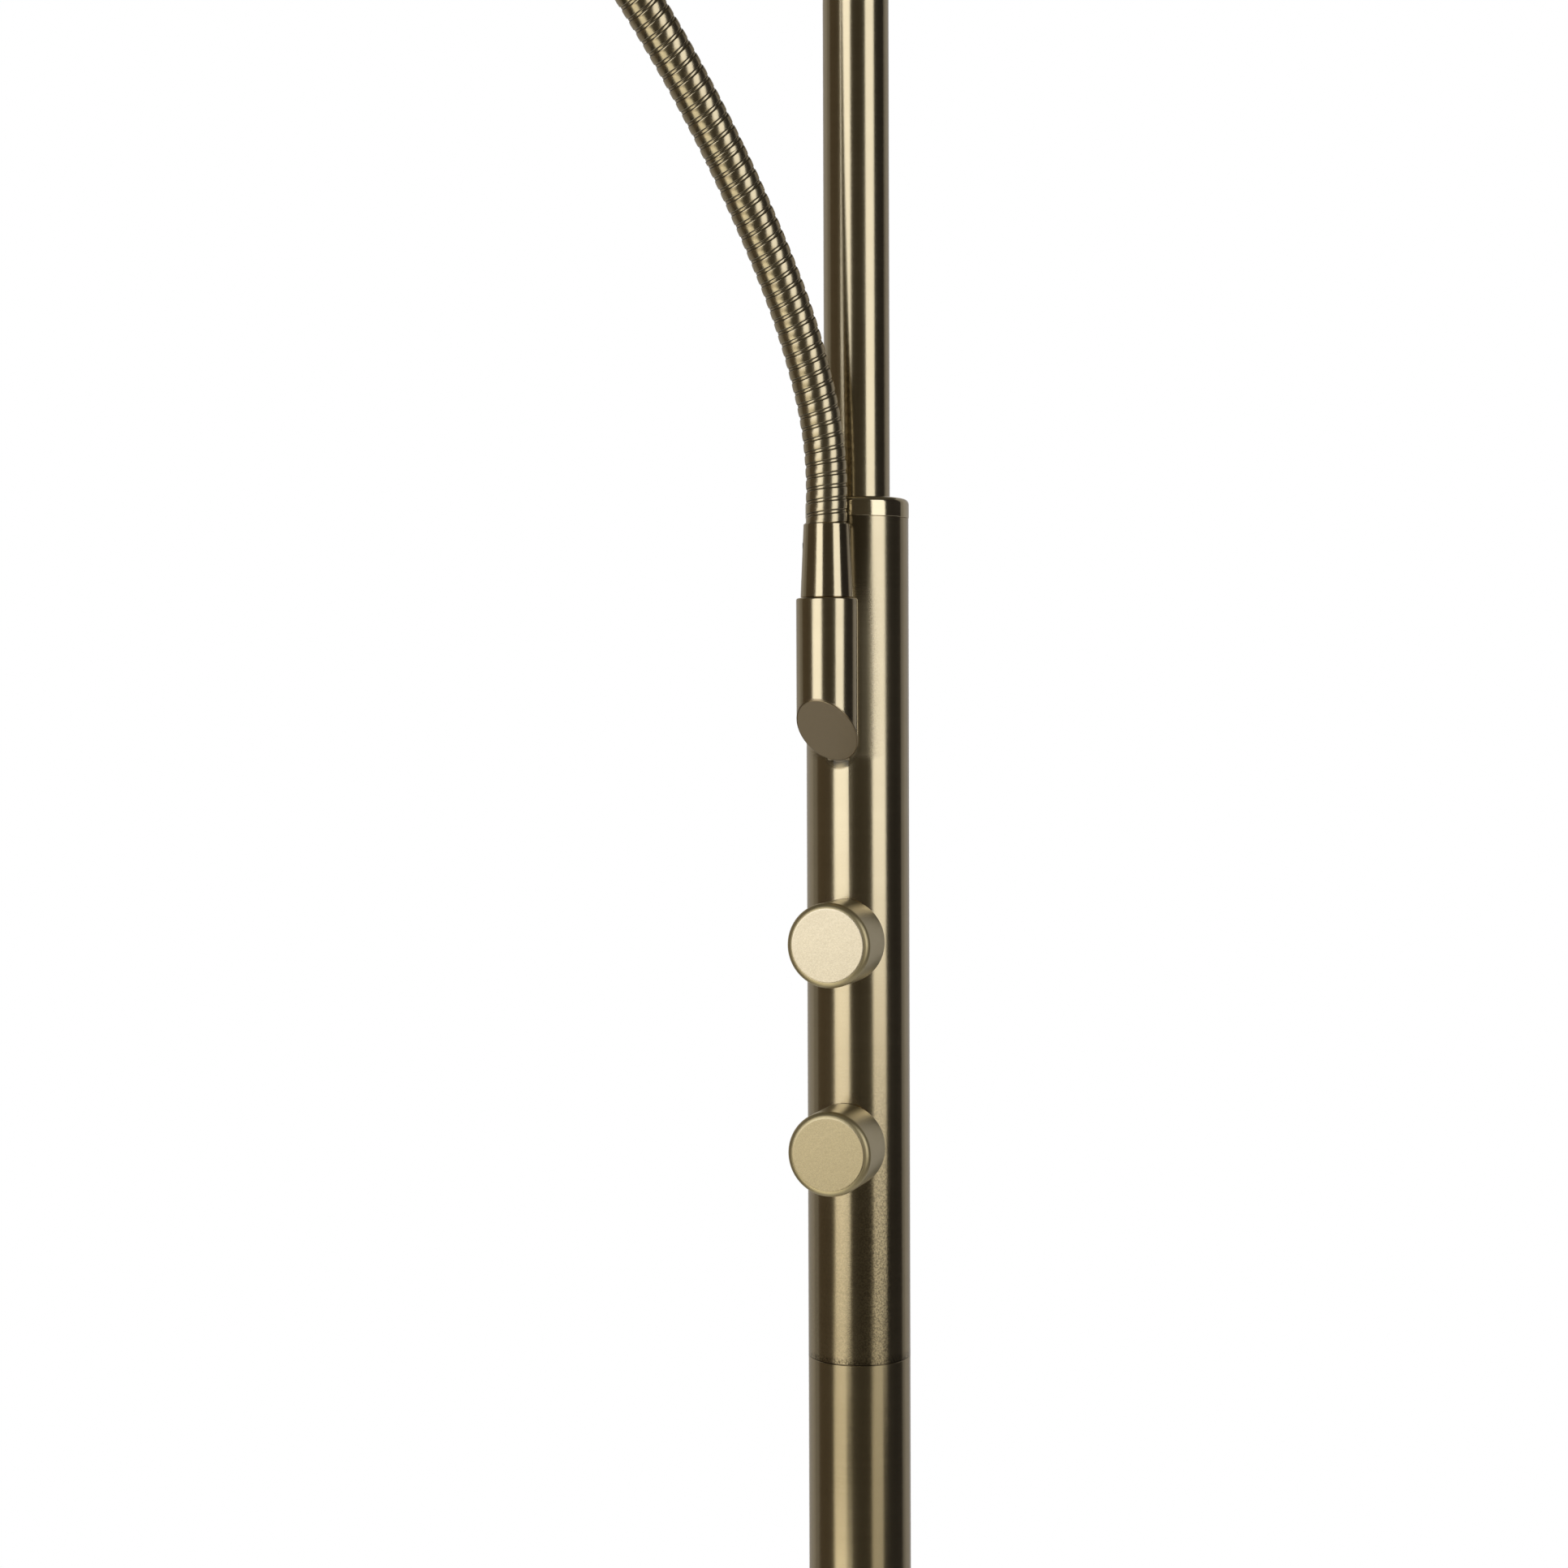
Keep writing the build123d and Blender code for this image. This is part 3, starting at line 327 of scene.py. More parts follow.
def lacquer_wear_and_shade(tree, place):
    """Control tube's lacquer: tint and share of grain and painted shade, added roughness, relief of pits and
    bead.
    """
    axes = add(tree, "ShaderNodeSeparateXYZ", {0: place}).outputs
    low = ramp(tree, axes[2], control_bottom + GRAIN_TOP, control_bottom + GRAIN_BOTTOM)
    rightward = ramp(tree, axes[0], 0.0, GRAIN_FULL_SIDE, GRAIN_LEFT_SHARE)
    inside_edge = ramp(tree, axes[0], GRAIN_EDGE_END, GRAIN_EDGE_START, GRAIN_EDGE_SHARE)
    grainy = times(tree, low, rightward, inside_edge)
    brazed, holder_shade = brazed_and_shade_masks(tree, place, axes[2])
    bead = brazed_bead(tree, place)
    over_seam = ramp(tree, axes[2], control_bottom + SEAM_GRAIN_TOP, control_bottom + SEAM_GRAIN_FULL)
    # Painted shade: a dark line along the tube's bottom edge, in the lower seam
    seam = ramp(tree, axes[2], control_bottom + SEAM_SHADE_HEIGHT, control_bottom + SEAM_SHADE_HEIGHT / 2)
    grains = noise(tree, place, GRAIN_SCALE, detail=3.0, roughness=0.7)
    over_threshold = maths(tree, "SUBTRACT", grains, GRAIN_THRESHOLD)
    dark = maths(tree, "MULTIPLY", over_threshold, GRAIN_CONTRAST, clamp=True)
    where = greatest(tree, over_seam, times(tree, grainy, GRAIN_TINT), times(tree, brazed, BRAZED_TINT))
    # Painted shade beside the holder and under its tip
    painted_shade = greatest(tree, times(tree, holder_shade, HOLDER_SHADE_TINT), times(tree, bead, BEAD_SHADE_TINT))
    share = greatest(tree, times(tree, dark, where), seam, painted_shade)
    pitted = times(tree, total(tree, grainy, brazed), PIT_DEPTH)
    bulge = times(tree, bead, bead, BEAD_HEIGHT)
    relief = total(tree, times(tree, grains, pitted), bulge)
    rougher = greatest(tree, times(tree, brazed, BRAZED_ROUGHNESS), times(tree, bead, BEAD_ROUGHNESS))
    return LACQUER_GRAIN_AND_SHADE, share, rougher, relief


dress(bronze("control_tube_bronze", worn=lacquer_wear_and_shade), "control_tube")

# Top collar
# A turned bush closes the control tube round the thinner upper pole. Its rim is polished brighter than the
# tubes, with a rounded top edge and a fine chamfer below that shows as a dark seam.
COLLAR_RADIUS = 0.0126
COLLAR_EDGE_RADIUS = 0.0014
COLLAR_CHAMFER = 0.00006
COLLAR_BORE_RADIUS = 0.00802
COLLAR_SPIGOT_RADIUS = 0.01095
COLLAR_SHOULDER_RADIUS = 0.0066
COLLAR_SHOULDER = 0.003
EDGE_STEPS = 8
SHARP_ANGLE = math.radians(30)
POLISHED_BRONZE = ((0.5, 0.42, 0.27, 1), (0.62, 0.53, 0.36, 1))


def turned(name, outline, material, sides=96):
    """Ring-shaped mesh spun round the Z axis from a closed outline of (radius, height) points."""
    points = []
    faces = []
    count = len(outline)
    for side in range(sides):
        angle = 2 * math.pi * side / sides
        points += [(r * math.cos(angle), r * math.sin(angle), z) for r, z in outline]
        this = side * count
        beside = (side + 1) % sides * count
        for here in range(count):
            there = (here + 1) % count
            faces.append((this + here, beside + here, beside + there, this + there))
    mesh = bpy.data.meshes.new(name)
    mesh.from_pydata(points, [], faces)
    mesh.shade_smooth()
    mesh.set_sharp_from_angle(angle=SHARP_ANGLE)
    mesh.materials.append(material)
    piece = bpy.data.objects.new(name, mesh)
    bpy.context.scene.collection.objects.link(piece)
    return piece


collar_bottom, collar_top = (corner.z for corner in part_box("top_collar"))
collar_outline = [
    (COLLAR_SHOULDER_RADIUS, collar_bottom),
    (COLLAR_SPIGOT_RADIUS, collar_bottom),
    (COLLAR_SPIGOT_RADIUS, control_top),
    (COLLAR_RADIUS - COLLAR_CHAMFER, control_top),
    (COLLAR_RADIUS, control_top + COLLAR_CHAMFER),
]
for step in range(EDGE_STEPS + 1):
    angle = math.pi / 2 * step / EDGE_STEPS
    edge_radius = COLLAR_RADIUS - COLLAR_EDGE_RADIUS * (1 - math.cos(angle))
    edge_height = collar_top - COLLAR_EDGE_RADIUS * (1 - math.sin(angle))
    collar_outline.append((edge_radius, edge_height))
collar_outline += [
    (COLLAR_BORE_RADIUS, collar_top),
    (COLLAR_BORE_RADIUS, collar_bottom + COLLAR_SHOULDER),
    (COLLAR_SHOULDER_RADIUS, collar_bottom + COLLAR_SHOULDER),
]
collar_finish = bronze("collar_bronze", density=6000.0, roughness=0.12, shades=POLISHED_BRONZE)
collar = turned("collar_rim", collar_outline, collar_finish)
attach(collar, "stand")
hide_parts("top_collar")

# Inside the foot
# A raw iron casting gives the weight, closed below by zinc-plated sheet with countersunk screws and a felt
# pad. A hollow stud, washer and nut pull the foot against the pole. Bush and terminal block are moulded.
GRAIN_IN_ROUGHNESS = 0.25
grain, given, result = effect(
    "grain",
    {"Vector": (VECTOR, None), "Scale": (FLOAT, 800.0), "Patch Scale": (FLOAT, 60.0)},
    {"Grain": FLOAT, "Patches": FLOAT},
)
fine_grain = noise(grain, given["Vector"], given["Scale"], detail=4.0, roughness=0.6)
patches = noise(grain, given["Vector"], given["Patch Scale"], detail=3.0)
grain.links.new(fine_grain, result["Grain"])
grain.links.new(patches, result["Patches"])


def grained(name, first, second, scale, patch_scale, roughness, relief, **constants):
    """Finish of two colours in grain and patches, with a rough surface."""
    material, tree, shader = new_finish(name, **constants)
    inputs = {"Vector": piece_place(tree), "Scale": scale, "Patch Scale": patch_scale}
    surface = add(tree, "ShaderNodeGroup", inputs, node_tree=grain).outputs
    mean = times(tree, total(tree, surface["Grain"], surface["Patches"]), 0.5)
    tree.links.new(blend_colour(tree, mean, first, second), shader["Base Color"])
    uneven = times(tree, maths(tree, "SUBTRACT", surface["Grain"], NOISE_MIDDLE), GRAIN_IN_ROUGHNESS)
    tree.links.new(maths(tree, "ADD", uneven, roughness, clamp=True), shader["Roughness"])
    tree.links.new(raised(tree, surface["Grain"], relief), shader["Normal"])
    return material


cast_iron = grained(
    "raw_cast_iron",
    (0.05, 0.048, 0.046, 1),
    (0.11, 0.1, 0.095, 1),
    scale=500, patch_scale=40, roughness=0.65, relief=0.0003, Metallic=0.6,
)
zinc = grained(
    "zinc_plate",
    (0.5, 0.5, 0.52, 1),
    (0.68, 0.68, 0.67, 1),
    scale=900, patch_scale=90, roughness=0.32, relief=0.00002, Metallic=1.0,
)
felt = grained(
    "black_felt",
    (0.012, 0.012, 0.013, 1),
    (0.05, 0.05, 0.052, 1),
    scale=1400, patch_scale=120, roughness=0.95, relief=0.0004, Sheen_Weight=0.4,
)
moulded = grained(
    "moulded_plastic",
    (0.015, 0.015, 0.016, 1),
    (0.03, 0.03, 0.031, 1),
    scale=1800, patch_scale=50, roughness=0.45, relief=0.00003,
)
sheath = grained(
    "wire_sheath",
    (0.012, 0.012, 0.012, 1),
    (0.024, 0.024, 0.024, 1),
    scale=1200, patch_scale=80, roughness=0.5, relief=0.00002,
)
dress(cast_iron, "base_weight")
dress(zinc, "base_plate", "base_plate_screws", "base_stud", "base_washer", "base_nut")
dress(zinc, "pole_end_plugs", "pole_joint_studs")
dress(felt, "base_pad")
dress(moulded, "cord_gland", "terminal_block")
dress(sheath, "pole_wire", "uplight_wire")

# Dimmers
# Two rotary dimmers on a circuit board stand inside the control tube, each with its threaded bush through
# the wall and a thin nut outside. Their shafts turn with the knobs.
solder_mask, tree, shader = new_finish("solder_mask", Roughness=0.35, Coat_Weight=0.3)
track_inputs = {
    "Vector": piece_place(tree, turn=(math.pi / 2, 0, 0)),
    "Scale": 260.0,
    "Color1": (0.02, 0.11, 0.045, 1),
    "Color2": (0.025, 0.14, 0.06, 1),
    "Mortar": (0.05, 0.24, 0.1, 1),
}
tracks = add(tree, "ShaderNodeTexBrick", track_inputs)
tree.links.new(tracks.outputs["Color"], shader["Base Color"])
dress(solder_mask, "control_board", "led_ring_board", "head_led_board")
dress(moulded, "upper_dimmer", "lower_dimmer")
dress(zinc, "dimmer_nuts", "upper_shaft", "lower_shaft")

# Knobs
# Turned from aluminium bar with a rounded front edge and anodised a pale bronze. The lower one's face is
# painted a shade deeper for the weaker light that falls on it. The face is blasted with fine beads and the
# side is left satin. Each knob is pressed on its shaft.
KNOB_FACES_AND_SHADE = {
    "upper_knob": ((0.46, 0.395, 0.28, 1), (0.53, 0.46, 0.335, 1)),
    # Deeper colours here are painted shade for the weaker light on the lower knob
    "lower_knob": ((0.355, 0.295, 0.178, 1), (0.41, 0.345, 0.213, 1)),
}
KNOB_SIDE = (0.64, 0.56, 0.37, 1)
KNOB_EDGE = (0.55, 0.46, 0.265, 1)
KNOB_EDGE_RADIUS = 0.0012
KNOB_EDGE_FADE = 0.0004
KNOB_FACE_START = 0.00005
KNOB_FACE_FULL = 0.00001
KNOB_RING_DENSITY = 5000.0
DIMPLE_SCALE = 2900.0
DIMPLE_PATCH_SCALE = 200.0
DIMPLE_CONTRAST = 2.6
KNOB_SIDE_ROUGHNESS = 0.33
KNOB_EDGE_ROUGHNESS = 0.4
KNOB_FACE_SMOOTHING = -0.2
PATCHES_IN_ROUGHNESS = 0.08
RINGS_IN_RELIEF = 0.15
KNOB_RELIEF = 0.000014
knob_front = -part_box("upper_knob")[0].y


def knob_finish(name, height, shades):
    """Dimples of the beads on the face, faint turning rings on the side."""
    material, tree, shader = new_finish(name, Metallic=1.0)
    place = piece_place(tree, (0, 0, height), (math.pi / 2, 0, 0))
    forward = add(tree, "ShaderNodeSeparateXYZ", {0: place}).outputs[2]
    face = ramp(tree, forward, knob_front - KNOB_FACE_START, knob_front - KNOB_FACE_FULL)
    edge_start = knob_front - KNOB_EDGE_RADIUS
    edge = ramp(tree, forward, edge_start - KNOB_EDGE_FADE, edge_start)
    ring_inputs = {"Vector": place, "Density": KNOB_RING_DENSITY}
    rings = add(tree, "ShaderNodeGroup", ring_inputs, node_tree=round_brush).outputs["Marks"]
    blast_inputs = {"Vector": place, "Scale": DIMPLE_SCALE, "Patch Scale": DIMPLE_PATCH_SCALE}
    blast = add(tree, "ShaderNodeGroup", blast_inputs, node_tree=grain).outputs
    dimples = blast["Grain"]
    contrast = times(tree, maths(tree, "SUBTRACT", dimples, NOISE_MIDDLE), DIMPLE_CONTRAST)
    tone = maths(tree, "ADD", contrast, NOISE_MIDDLE, clamp=True)
    face_colour = blend_colour(tree, tone, *shades)
    side_colour = blend_colour(tree, edge, KNOB_SIDE, KNOB_EDGE)
    tree.links.new(blend_colour(tree, face, side_colour, face_colour), shader["Base Color"])
    uneven = times(tree, blast["Patches"], PATCHES_IN_ROUGHNESS)
    satin = ramp(tree, edge, 0.0, 1.0, KNOB_SIDE_ROUGHNESS, KNOB_EDGE_ROUGHNESS)
    smoother = ramp(tree, face, 0.0, 1.0, 0.0, KNOB_FACE_SMOOTHING)
    tree.links.new(total(tree, uneven, total(tree, satin, smoother)), shader["Roughness"])
    relief = total(tree, times(tree, dimples, face), times(tree, rings, RINGS_IN_RELIEF))
    tree.links.new(raised(tree, relief, KNOB_RELIEF), shader["Normal"])
    return material


for knob, shades in KNOB_FACES_AND_SHADE.items():
    knob_bottom, knob_top = (corner.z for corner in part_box(knob))
    dress(knob_finish(knob + "_bronze", 0.5 * (knob_bottom + knob_top), shades), knob)

# Holder and ferrules
# The holder is a bar end cut at 45 degrees, brazed to the control tube and plated with it. A turned ferrule
# screws into it and grips the foot of the neck with a grub screw, and a second one does so at the head.
HOLDER_DISTANCE = 0.0197
SAWN_BRONZE = (0.3, 0.23, 0.136, 1)
SAWN_FADE_START = -0.0005
SAWN_FADE_END = -0.0002
SAWN_ROUGHNESS = 0.14
SAW_LINE_STRETCH = (300, 300, 6000)
SAW_LINE_HEIGHT = 2.0
holder_axis = holder_outward * HOLDER_DISTANCE


def sawn_end(tree, place):
    """Tint, its share, added roughness and relief of the slanting cut, with the saw's fine level lines."""
    middle = (0, 0, control_top - HOLDER_CUT_DROP)
    from_middle = vectors(tree, "SUBTRACT", {0: place, 1: middle})
    facing = (holder_outward - Vector((0, 0, 1))).normalized()
    depth = vectors(tree, "DOT_PRODUCT", {0: from_middle, 1: facing})
    cut = ramp(tree, depth, SAWN_FADE_START, SAWN_FADE_END)
    long = vectors(tree, "MULTIPLY", {0: place, 1: SAW_LINE_STRETCH})
    lines = times(tree, noise(tree, long, scale=1.0), SAW_LINE_HEIGHT)
    return SAWN_BRONZE, cut, times(tree, cut, SAWN_ROUGHNESS), times(tree, lines, cut)


dress(bronze("holder_bronze", origin=holder_axis, worn=sawn_end), "neck_holder")
dress(bronze("ferrule_bronze", origin=holder_axis, density=6000.0, roughness=0.14), "neck_ferrule")
black_steel = grained(
    "black_steel",
    (0.012, 0.011, 0.01, 1),
    (0.03, 0.028, 0.026, 1),
    scale=1500, patch_scale=90, roughness=0.45, relief=0.00002,
)
dress(black_steel, "neck_grub_screw", "head_grub_screw")

# Flexible neck
# A round-backed steel wire wound as a spring, with a thinner wire wound into its groove, plated bronze. The
# two fine seams beside the thin wire, painted dark as shade, climb round the neck as a screw does. Friction
# holds any bend.
NECK_SIDE_ANGLE = math.radians(38.0)
# Length and degrees of each bend, from the ferrule on
NECK_BENDS = (
    (0.008, 0.0),
    (0.022, 15.9),
    (0.030, 10.8),
    (0.030, 5.2),
    (0.080, 15.0),
    (0.208, 103.1),
    (0.042, 0.0),
)
NECK_DIAMETER = 0.0098
NECK_PITCH = 0.003
NECK_SPANS = 7
RINGS_PER_RIB = 36
FILLER_SHARE = 4 / RINGS_PER_RIB
SEAM_SHARE = 0.048
RIB_MIDDLE = 0.5
FERRULE_SPIGOT = 0.008
LINE_RESOLUTION = 64
neck_length = sum(length for length, turn in NECK_BENDS)
span_length = neck_length / NECK_SPANS
neck_foot = Vector((holder_axis.x, holder_axis.y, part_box("neck_ferrule")[1].z - FERRULE_SPIGOT))
lean_way = Vector((-math.sin(NECK_SIDE_ANGLE), -math.cos(NECK_SIDE_ANGLE), 0))


def leaning(lean):
    """Direction of the neck where it leans by an angle from upright."""
    return lean_way * math.sin(lean) + Vector((0, 0, math.cos(lean)))


def neck_point(distance, bends=NECK_BENDS):
    """Point on the neck's middle line, and its lean, at a distance from the ferrule."""
    point = neck_foot.copy()
    lean = 0.0
    for length, turn in bends:
        step = min(distance, length)
        part = math.radians(turn) * step / length
        chord = step * math.sin(part / 2) / (part / 2) if part else step
        point += leaning(lean + part / 2) * chord
        lean += part
        distance -= step
    return point, lean


def handle_length(bend):
    """Handle that draws a bend as a true arc."""
    length, turn = bend
    angle = math.radians(turn)
    return 4 / 3 * math.tan(angle / 4) * length / angle if angle else length / 3


def neck_line(bends):
    """Curve object along the middle of the neck, one true arc for each bend."""
    data = bpy.data.curves.new("neck_line", "CURVE")
    data.dimensions = "3D"
    data.resolution_u = LINE_RESOLUTION
    spline = data.splines.new("BEZIER")
    spline.bezier_points.add(len(bends))
    reached = 0.0
    for number, knot in enumerate(spline.bezier_points):
        before = bends[max(number - 1, 0)]
        after = bends[min(number, len(bends) - 1)]
        point, lean = neck_point(reached, bends)
        knot.co = point
        knot.handle_left_type = "FREE"
        knot.handle_right_type = "FREE"
        knot.handle_left = point - leaning(lean) * handle_length(before)
        knot.handle_right = point + leaning(lean) * handle_length(after)
        reached += after[0]
    line = bpy.data.objects.new("neck_line", data)
    bpy.context.scene.collection.objects.link(line)
    return line


def falling(tree, value, start, end):
    """Value that falls evenly from 1 to 0 while another goes from start to end."""
    return add(tree, "ShaderNodeMapRange", {0: value, 1: start, 2: end, 3: 1.0, 4: 0.0}).outputs[0]


# Winding: a tube swept along a line, its skin sunk beside each turn of the thin wire
WINDING_PLACES = ("Start", "End")
WINDING_SIZES = ("Diameter", "Pitch", "Crown Height", "Groove Depth", "Shoulder Share", "Filler Height")
WINDING_COUNTS = ("Rings per Rib", "Sides")
neck_winding = bpy.data.node_groups.new("neck_winding", "GeometryNodeTree")
sockets = neck_winding.interface
sockets.new_socket("Line", in_out="INPUT", socket_type="NodeSocketGeometry")
for name in WINDING_PLACES + WINDING_SIZES:
    sockets.new_socket(name, in_out="INPUT", socket_type=FLOAT)
for name in WINDING_COUNTS:
    sockets.new_socket(name, in_out="INPUT", socket_type="NodeSocketInt")
sockets.new_socket("Finish", in_out="INPUT", socket_type="NodeSocketMaterial")
sockets.new_socket("Mesh", in_out="OUTPUT", socket_type="NodeSocketGeometry")
given = neck_winding.nodes.new("NodeGroupInput").outputs
trim_inputs = {0: given["Line"], 4: given["Start"], 5: given["End"]}
length_cut = add(neck_winding, "GeometryNodeTrimCurve", trim_inputs, mode="LENGTH").outputs[0]
run = maths(neck_winding, "SUBTRACT", given["End"], given["Start"])
ribs = maths(neck_winding, "DIVIDE", run, given["Pitch"])
rings = maths(neck_winding, "ROUND", times(neck_winding, ribs, given["Rings per Rib"]))
count = total(neck_winding, rings, 1.0)
stepped = add(neck_winding, "GeometryNodeResampleCurve", {"Curve": length_cut, "Count": count})
spline_place = add(neck_winding, "GeometryNodeSplineParameter").outputs
along_line = add(neck_winding, "GeometryNodeCaptureAttribute", {0: stepped.outputs[0]})
along_line.capture_items.new("FLOAT", "Along")
neck_winding.links.new(spline_place["Length"], along_line.inputs["Along"])
section_radius = maths(neck_winding, "DIVIDE", given["Diameter"], 2.0)
section_inputs = {"Resolution": given["Sides"], "Radius": section_radius}
section = add(neck_winding, "GeometryNodeCurvePrimitiveCircle", section_inputs)
round_section = add(neck_winding, "GeometryNodeCaptureAttribute", {0: section.outputs[0]})
round_section.capture_items.new("FLOAT", "Around")
neck_winding.links.new(spline_place["Factor"], round_section.inputs["Around"])
swept_inputs = {"Curve": along_line.outputs[0], "Profile Curve": round_section.outputs[0]}
swept = add(neck_winding, "GeometryNodeCurveToMesh", swept_inputs).outputs[0]
distance = total(neck_winding, along_line.outputs["Along"], given["Start"])
turns = maths(neck_winding, "DIVIDE", distance, given["Pitch"])
phase = maths(neck_winding, "FRACT", maths(neck_winding, "SUBTRACT", turns, round_section.outputs["Around"]))
from_groove = maths(neck_winding, "MINIMUM", phase, maths(neck_winding, "SUBTRACT", 1.0, phase))
shoulder = falling(neck_winding, from_groove, FILLER_SHARE, given["Shoulder Share"])
shoulder_depth = times(neck_winding, maths(neck_winding, "POWER", shoulder, 2.0), given["Groove Depth"])
off_crown = falling(neck_winding, from_groove, FILLER_SHARE, RIB_MIDDLE)
crown_depth = times(neck_winding, maths(neck_winding, "POWER", off_crown, 2.0), given["Crown Height"])
rib_depth = total(neck_winding, shoulder_depth, crown_depth)
off_filler = maths(neck_winding, "DIVIDE", from_groove, FILLER_SHARE, clamp=True)
filler_round = maths(neck_winding, "SUBTRACT", 1.0, maths(neck_winding, "POWER", off_filler, 2.0))
filler_rise = times(neck_winding, filler_round, given["Filler Height"])
depth = maths(neck_winding, "SUBTRACT", rib_depth, filler_rise)
from_seam = maths(neck_winding, "ABSOLUTE", maths(neck_winding, "SUBTRACT", from_groove, FILLER_SHARE))
# Painted shade: a dark line along each seam beside the thin wire
groove = ramp(neck_winding, from_seam, SEAM_SHARE, SEAM_SHARE / 4)
outside = add(neck_winding, "GeometryNodeInputNormal").outputs[0]
sunk = vectors(neck_winding, "SCALE", {0: outside, "Scale": times(neck_winding, depth, -1.0)})
wound = add(neck_winding, "GeometryNodeSetPosition", {"Geometry": swept, "Offset": sunk}).outputs[0]
split = add(neck_winding, "GeometryNodeTriangulate", {"Mesh": wound}, quad_method="FIXED").outputs[0]
mark_inputs = {"Geometry": split, "Name": "groove", "Value": groove}
mark_kind = {"data_type": "FLOAT", "domain": "POINT"}
marked = add(neck_winding, "GeometryNodeStoreNamedAttribute", mark_inputs, **mark_kind).outputs[0]
smooth = add(neck_winding, "GeometryNodeSetShadeSmooth", {"Geometry": marked}).outputs[0]
whole = add(neck_winding, "GeometryNodeRealizeInstances", {0: smooth}).outputs[0]
paint_inputs = {"Geometry": whole, "Material": given["Finish"]}
painted = add(neck_winding, "GeometryNodeSetMaterial", paint_inputs).outputs[0]
neck_winding.links.new(painted, neck_winding.nodes.new("NodeGroupOutput").inputs["Mesh"])


def grown(name, carrier, tree, values):
    """Plain mesh object from a carrier object and a Geometry Nodes tree with its named inputs."""
    modifier = carrier.modifiers.new(name, "NODES")
    modifier.node_group = tree
    for item in tree.interface.items_tree:
        if item.in_out == "INPUT" and item.name in values:
            modifier[item.identifier] = values[item.name]
    carrier.update_tag()
    bpy.context.view_layer.update()
    evaluated = carrier.evaluated_get(bpy.context.evaluated_depsgraph_get())
    mesh = bpy.data.meshes.new_from_object(evaluated)
    mesh.name = name
    carrier.modifiers.remove(modifier)
    piece = bpy.data.objects.new(name, mesh)
    bpy.context.scene.collection.objects.link(piece)
    return piece


# Colour painted as shade in the seams beside the thin wire
GROOVE_PAINTED_SHADE = (0.035, 0.026, 0.014, 1)
NECK_CLOUD_SCALE = 90.0
NECK_ROUGHNESS = 0.2
NECK_SPECK_ROUGHNESS = 0.06
GROOVE_ROUGHNESS = 0.3
NECK_RELIEF = 0.0000015
neck_bronze, tree, shader = new_finish("neck_bronze", Metallic=1.0, Coat_Weight=0.2, Coat_Roughness=0.2)
lacquer_inputs = {"Vector": piece_place(tree), "Cloud Scale": NECK_CLOUD_SCALE}
neck_lacquer = add(tree, "ShaderNodeGroup", lacquer_inputs, node_tree=lacquer).outputs
in_painted_seam = add(tree, "ShaderNodeAttribute", attribute_name="groove").outputs["Fac"]
rib_colour = blend_colour(tree, neck_lacquer["Clouds"], *BRONZE)
tree.links.new(blend_colour(tree, in_painted_seam, rib_colour, GROOVE_PAINTED_SHADE), shader["Base Color"])
rib_rough = total(tree, times(tree, neck_lacquer["Specks"], NECK_SPECK_ROUGHNESS), NECK_ROUGHNESS)
groove_rough = times(tree, in_painted_seam, GROOVE_ROUGHNESS)
tree.links.new(total(tree, rib_rough, groove_rough), shader["Roughness"])
tree.links.new(raised(tree, neck_lacquer["Specks"], NECK_RELIEF), shader["Normal"])

# Share of the half spans beside each hinge that its bend would cover; the points found from it are not used
BEND_REACH = 0.48
neck_bodies = ["neck_base"]
neck_bodies += ["neck_" + str(number) for number in range(2, NECK_SPANS)]
neck_bodies += ["reading_head"]


def bent_lengths(name, slot, bends, nodes_stood_for, **sizes):
    """Lengths of neck or wire, each reaching over one hinge from the middle of a span to the next."""
    line = neck_line(bends)
    for hinge in range(1, NECK_SPANS):
        first = hinge == 1
        last = hinge == NECK_SPANS - 1
        start = 0.0 if first else (hinge - 0.5) * span_length
        end = sum(length for length, turn in bends) if last else (hinge + 0.5) * span_length
        values = {"Start": start, "End": end, **sizes}
        piece = grown(name + "_" + str(hinge), line, neck_winding, values)
        bend_start = neck_point((hinge - BEND_REACH) * span_length)[0]
        bend_end = neck_point((hinge + BEND_REACH) * span_length)[0]
        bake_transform(piece)
        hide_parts(*nodes_stood_for(hinge, last))
    bpy.data.objects.remove(line)


def spans_of(hinge, last):
    """Ribbed solids that a length of neck stands for."""
    names = ["neck_span_" + str(hinge)]
    return names + ["neck_span_" + str(NECK_SPANS)] if last else names


neck_sizes = {
    "Diameter": NECK_DIAMETER,
    "Pitch": NECK_PITCH,
    "Crown Height": 0.00008,
    "Groove Depth": 0.00019,
    "Shoulder Share": 0.19,
    "Filler Height": 0.00005,
    "Rings per Rib": RINGS_PER_RIB,
    "Sides": 36,
    "Finish": neck_bronze,
}
bent_lengths("neck_winding", "neck", NECK_BENDS, spans_of, **neck_sizes)

# Wire in the neck
# A two-core wire with a black sheath runs from the board through a hole in the tube into the holder, and on
# through the whole neck into the head.
WIRE_DIAMETER = 0.004
WIRE_CLEARANCE = 0.0003
WIRE_HOLE_DROP = 0.0175
WIRE_IN_HEAD = 0.0299
wire_sizes = {
    "Diameter": WIRE_DIAMETER,
    "Pitch": NECK_PITCH,
    "Crown Height": 0.0,
    "Groove Depth": 0.0,
    "Shoulder Share": 0.14,
    "Filler Height": 0.0,
    "Rings per Rib": 2,
    "Sides": 12,
    "Finish": sheath,
}
wire_bends = NECK_BENDS + ((WIRE_IN_HEAD, 0.0),)
bent_lengths("neck_wire_run", "wire", wire_bends, lambda hinge, last: ["neck_wire"], **wire_sizes)


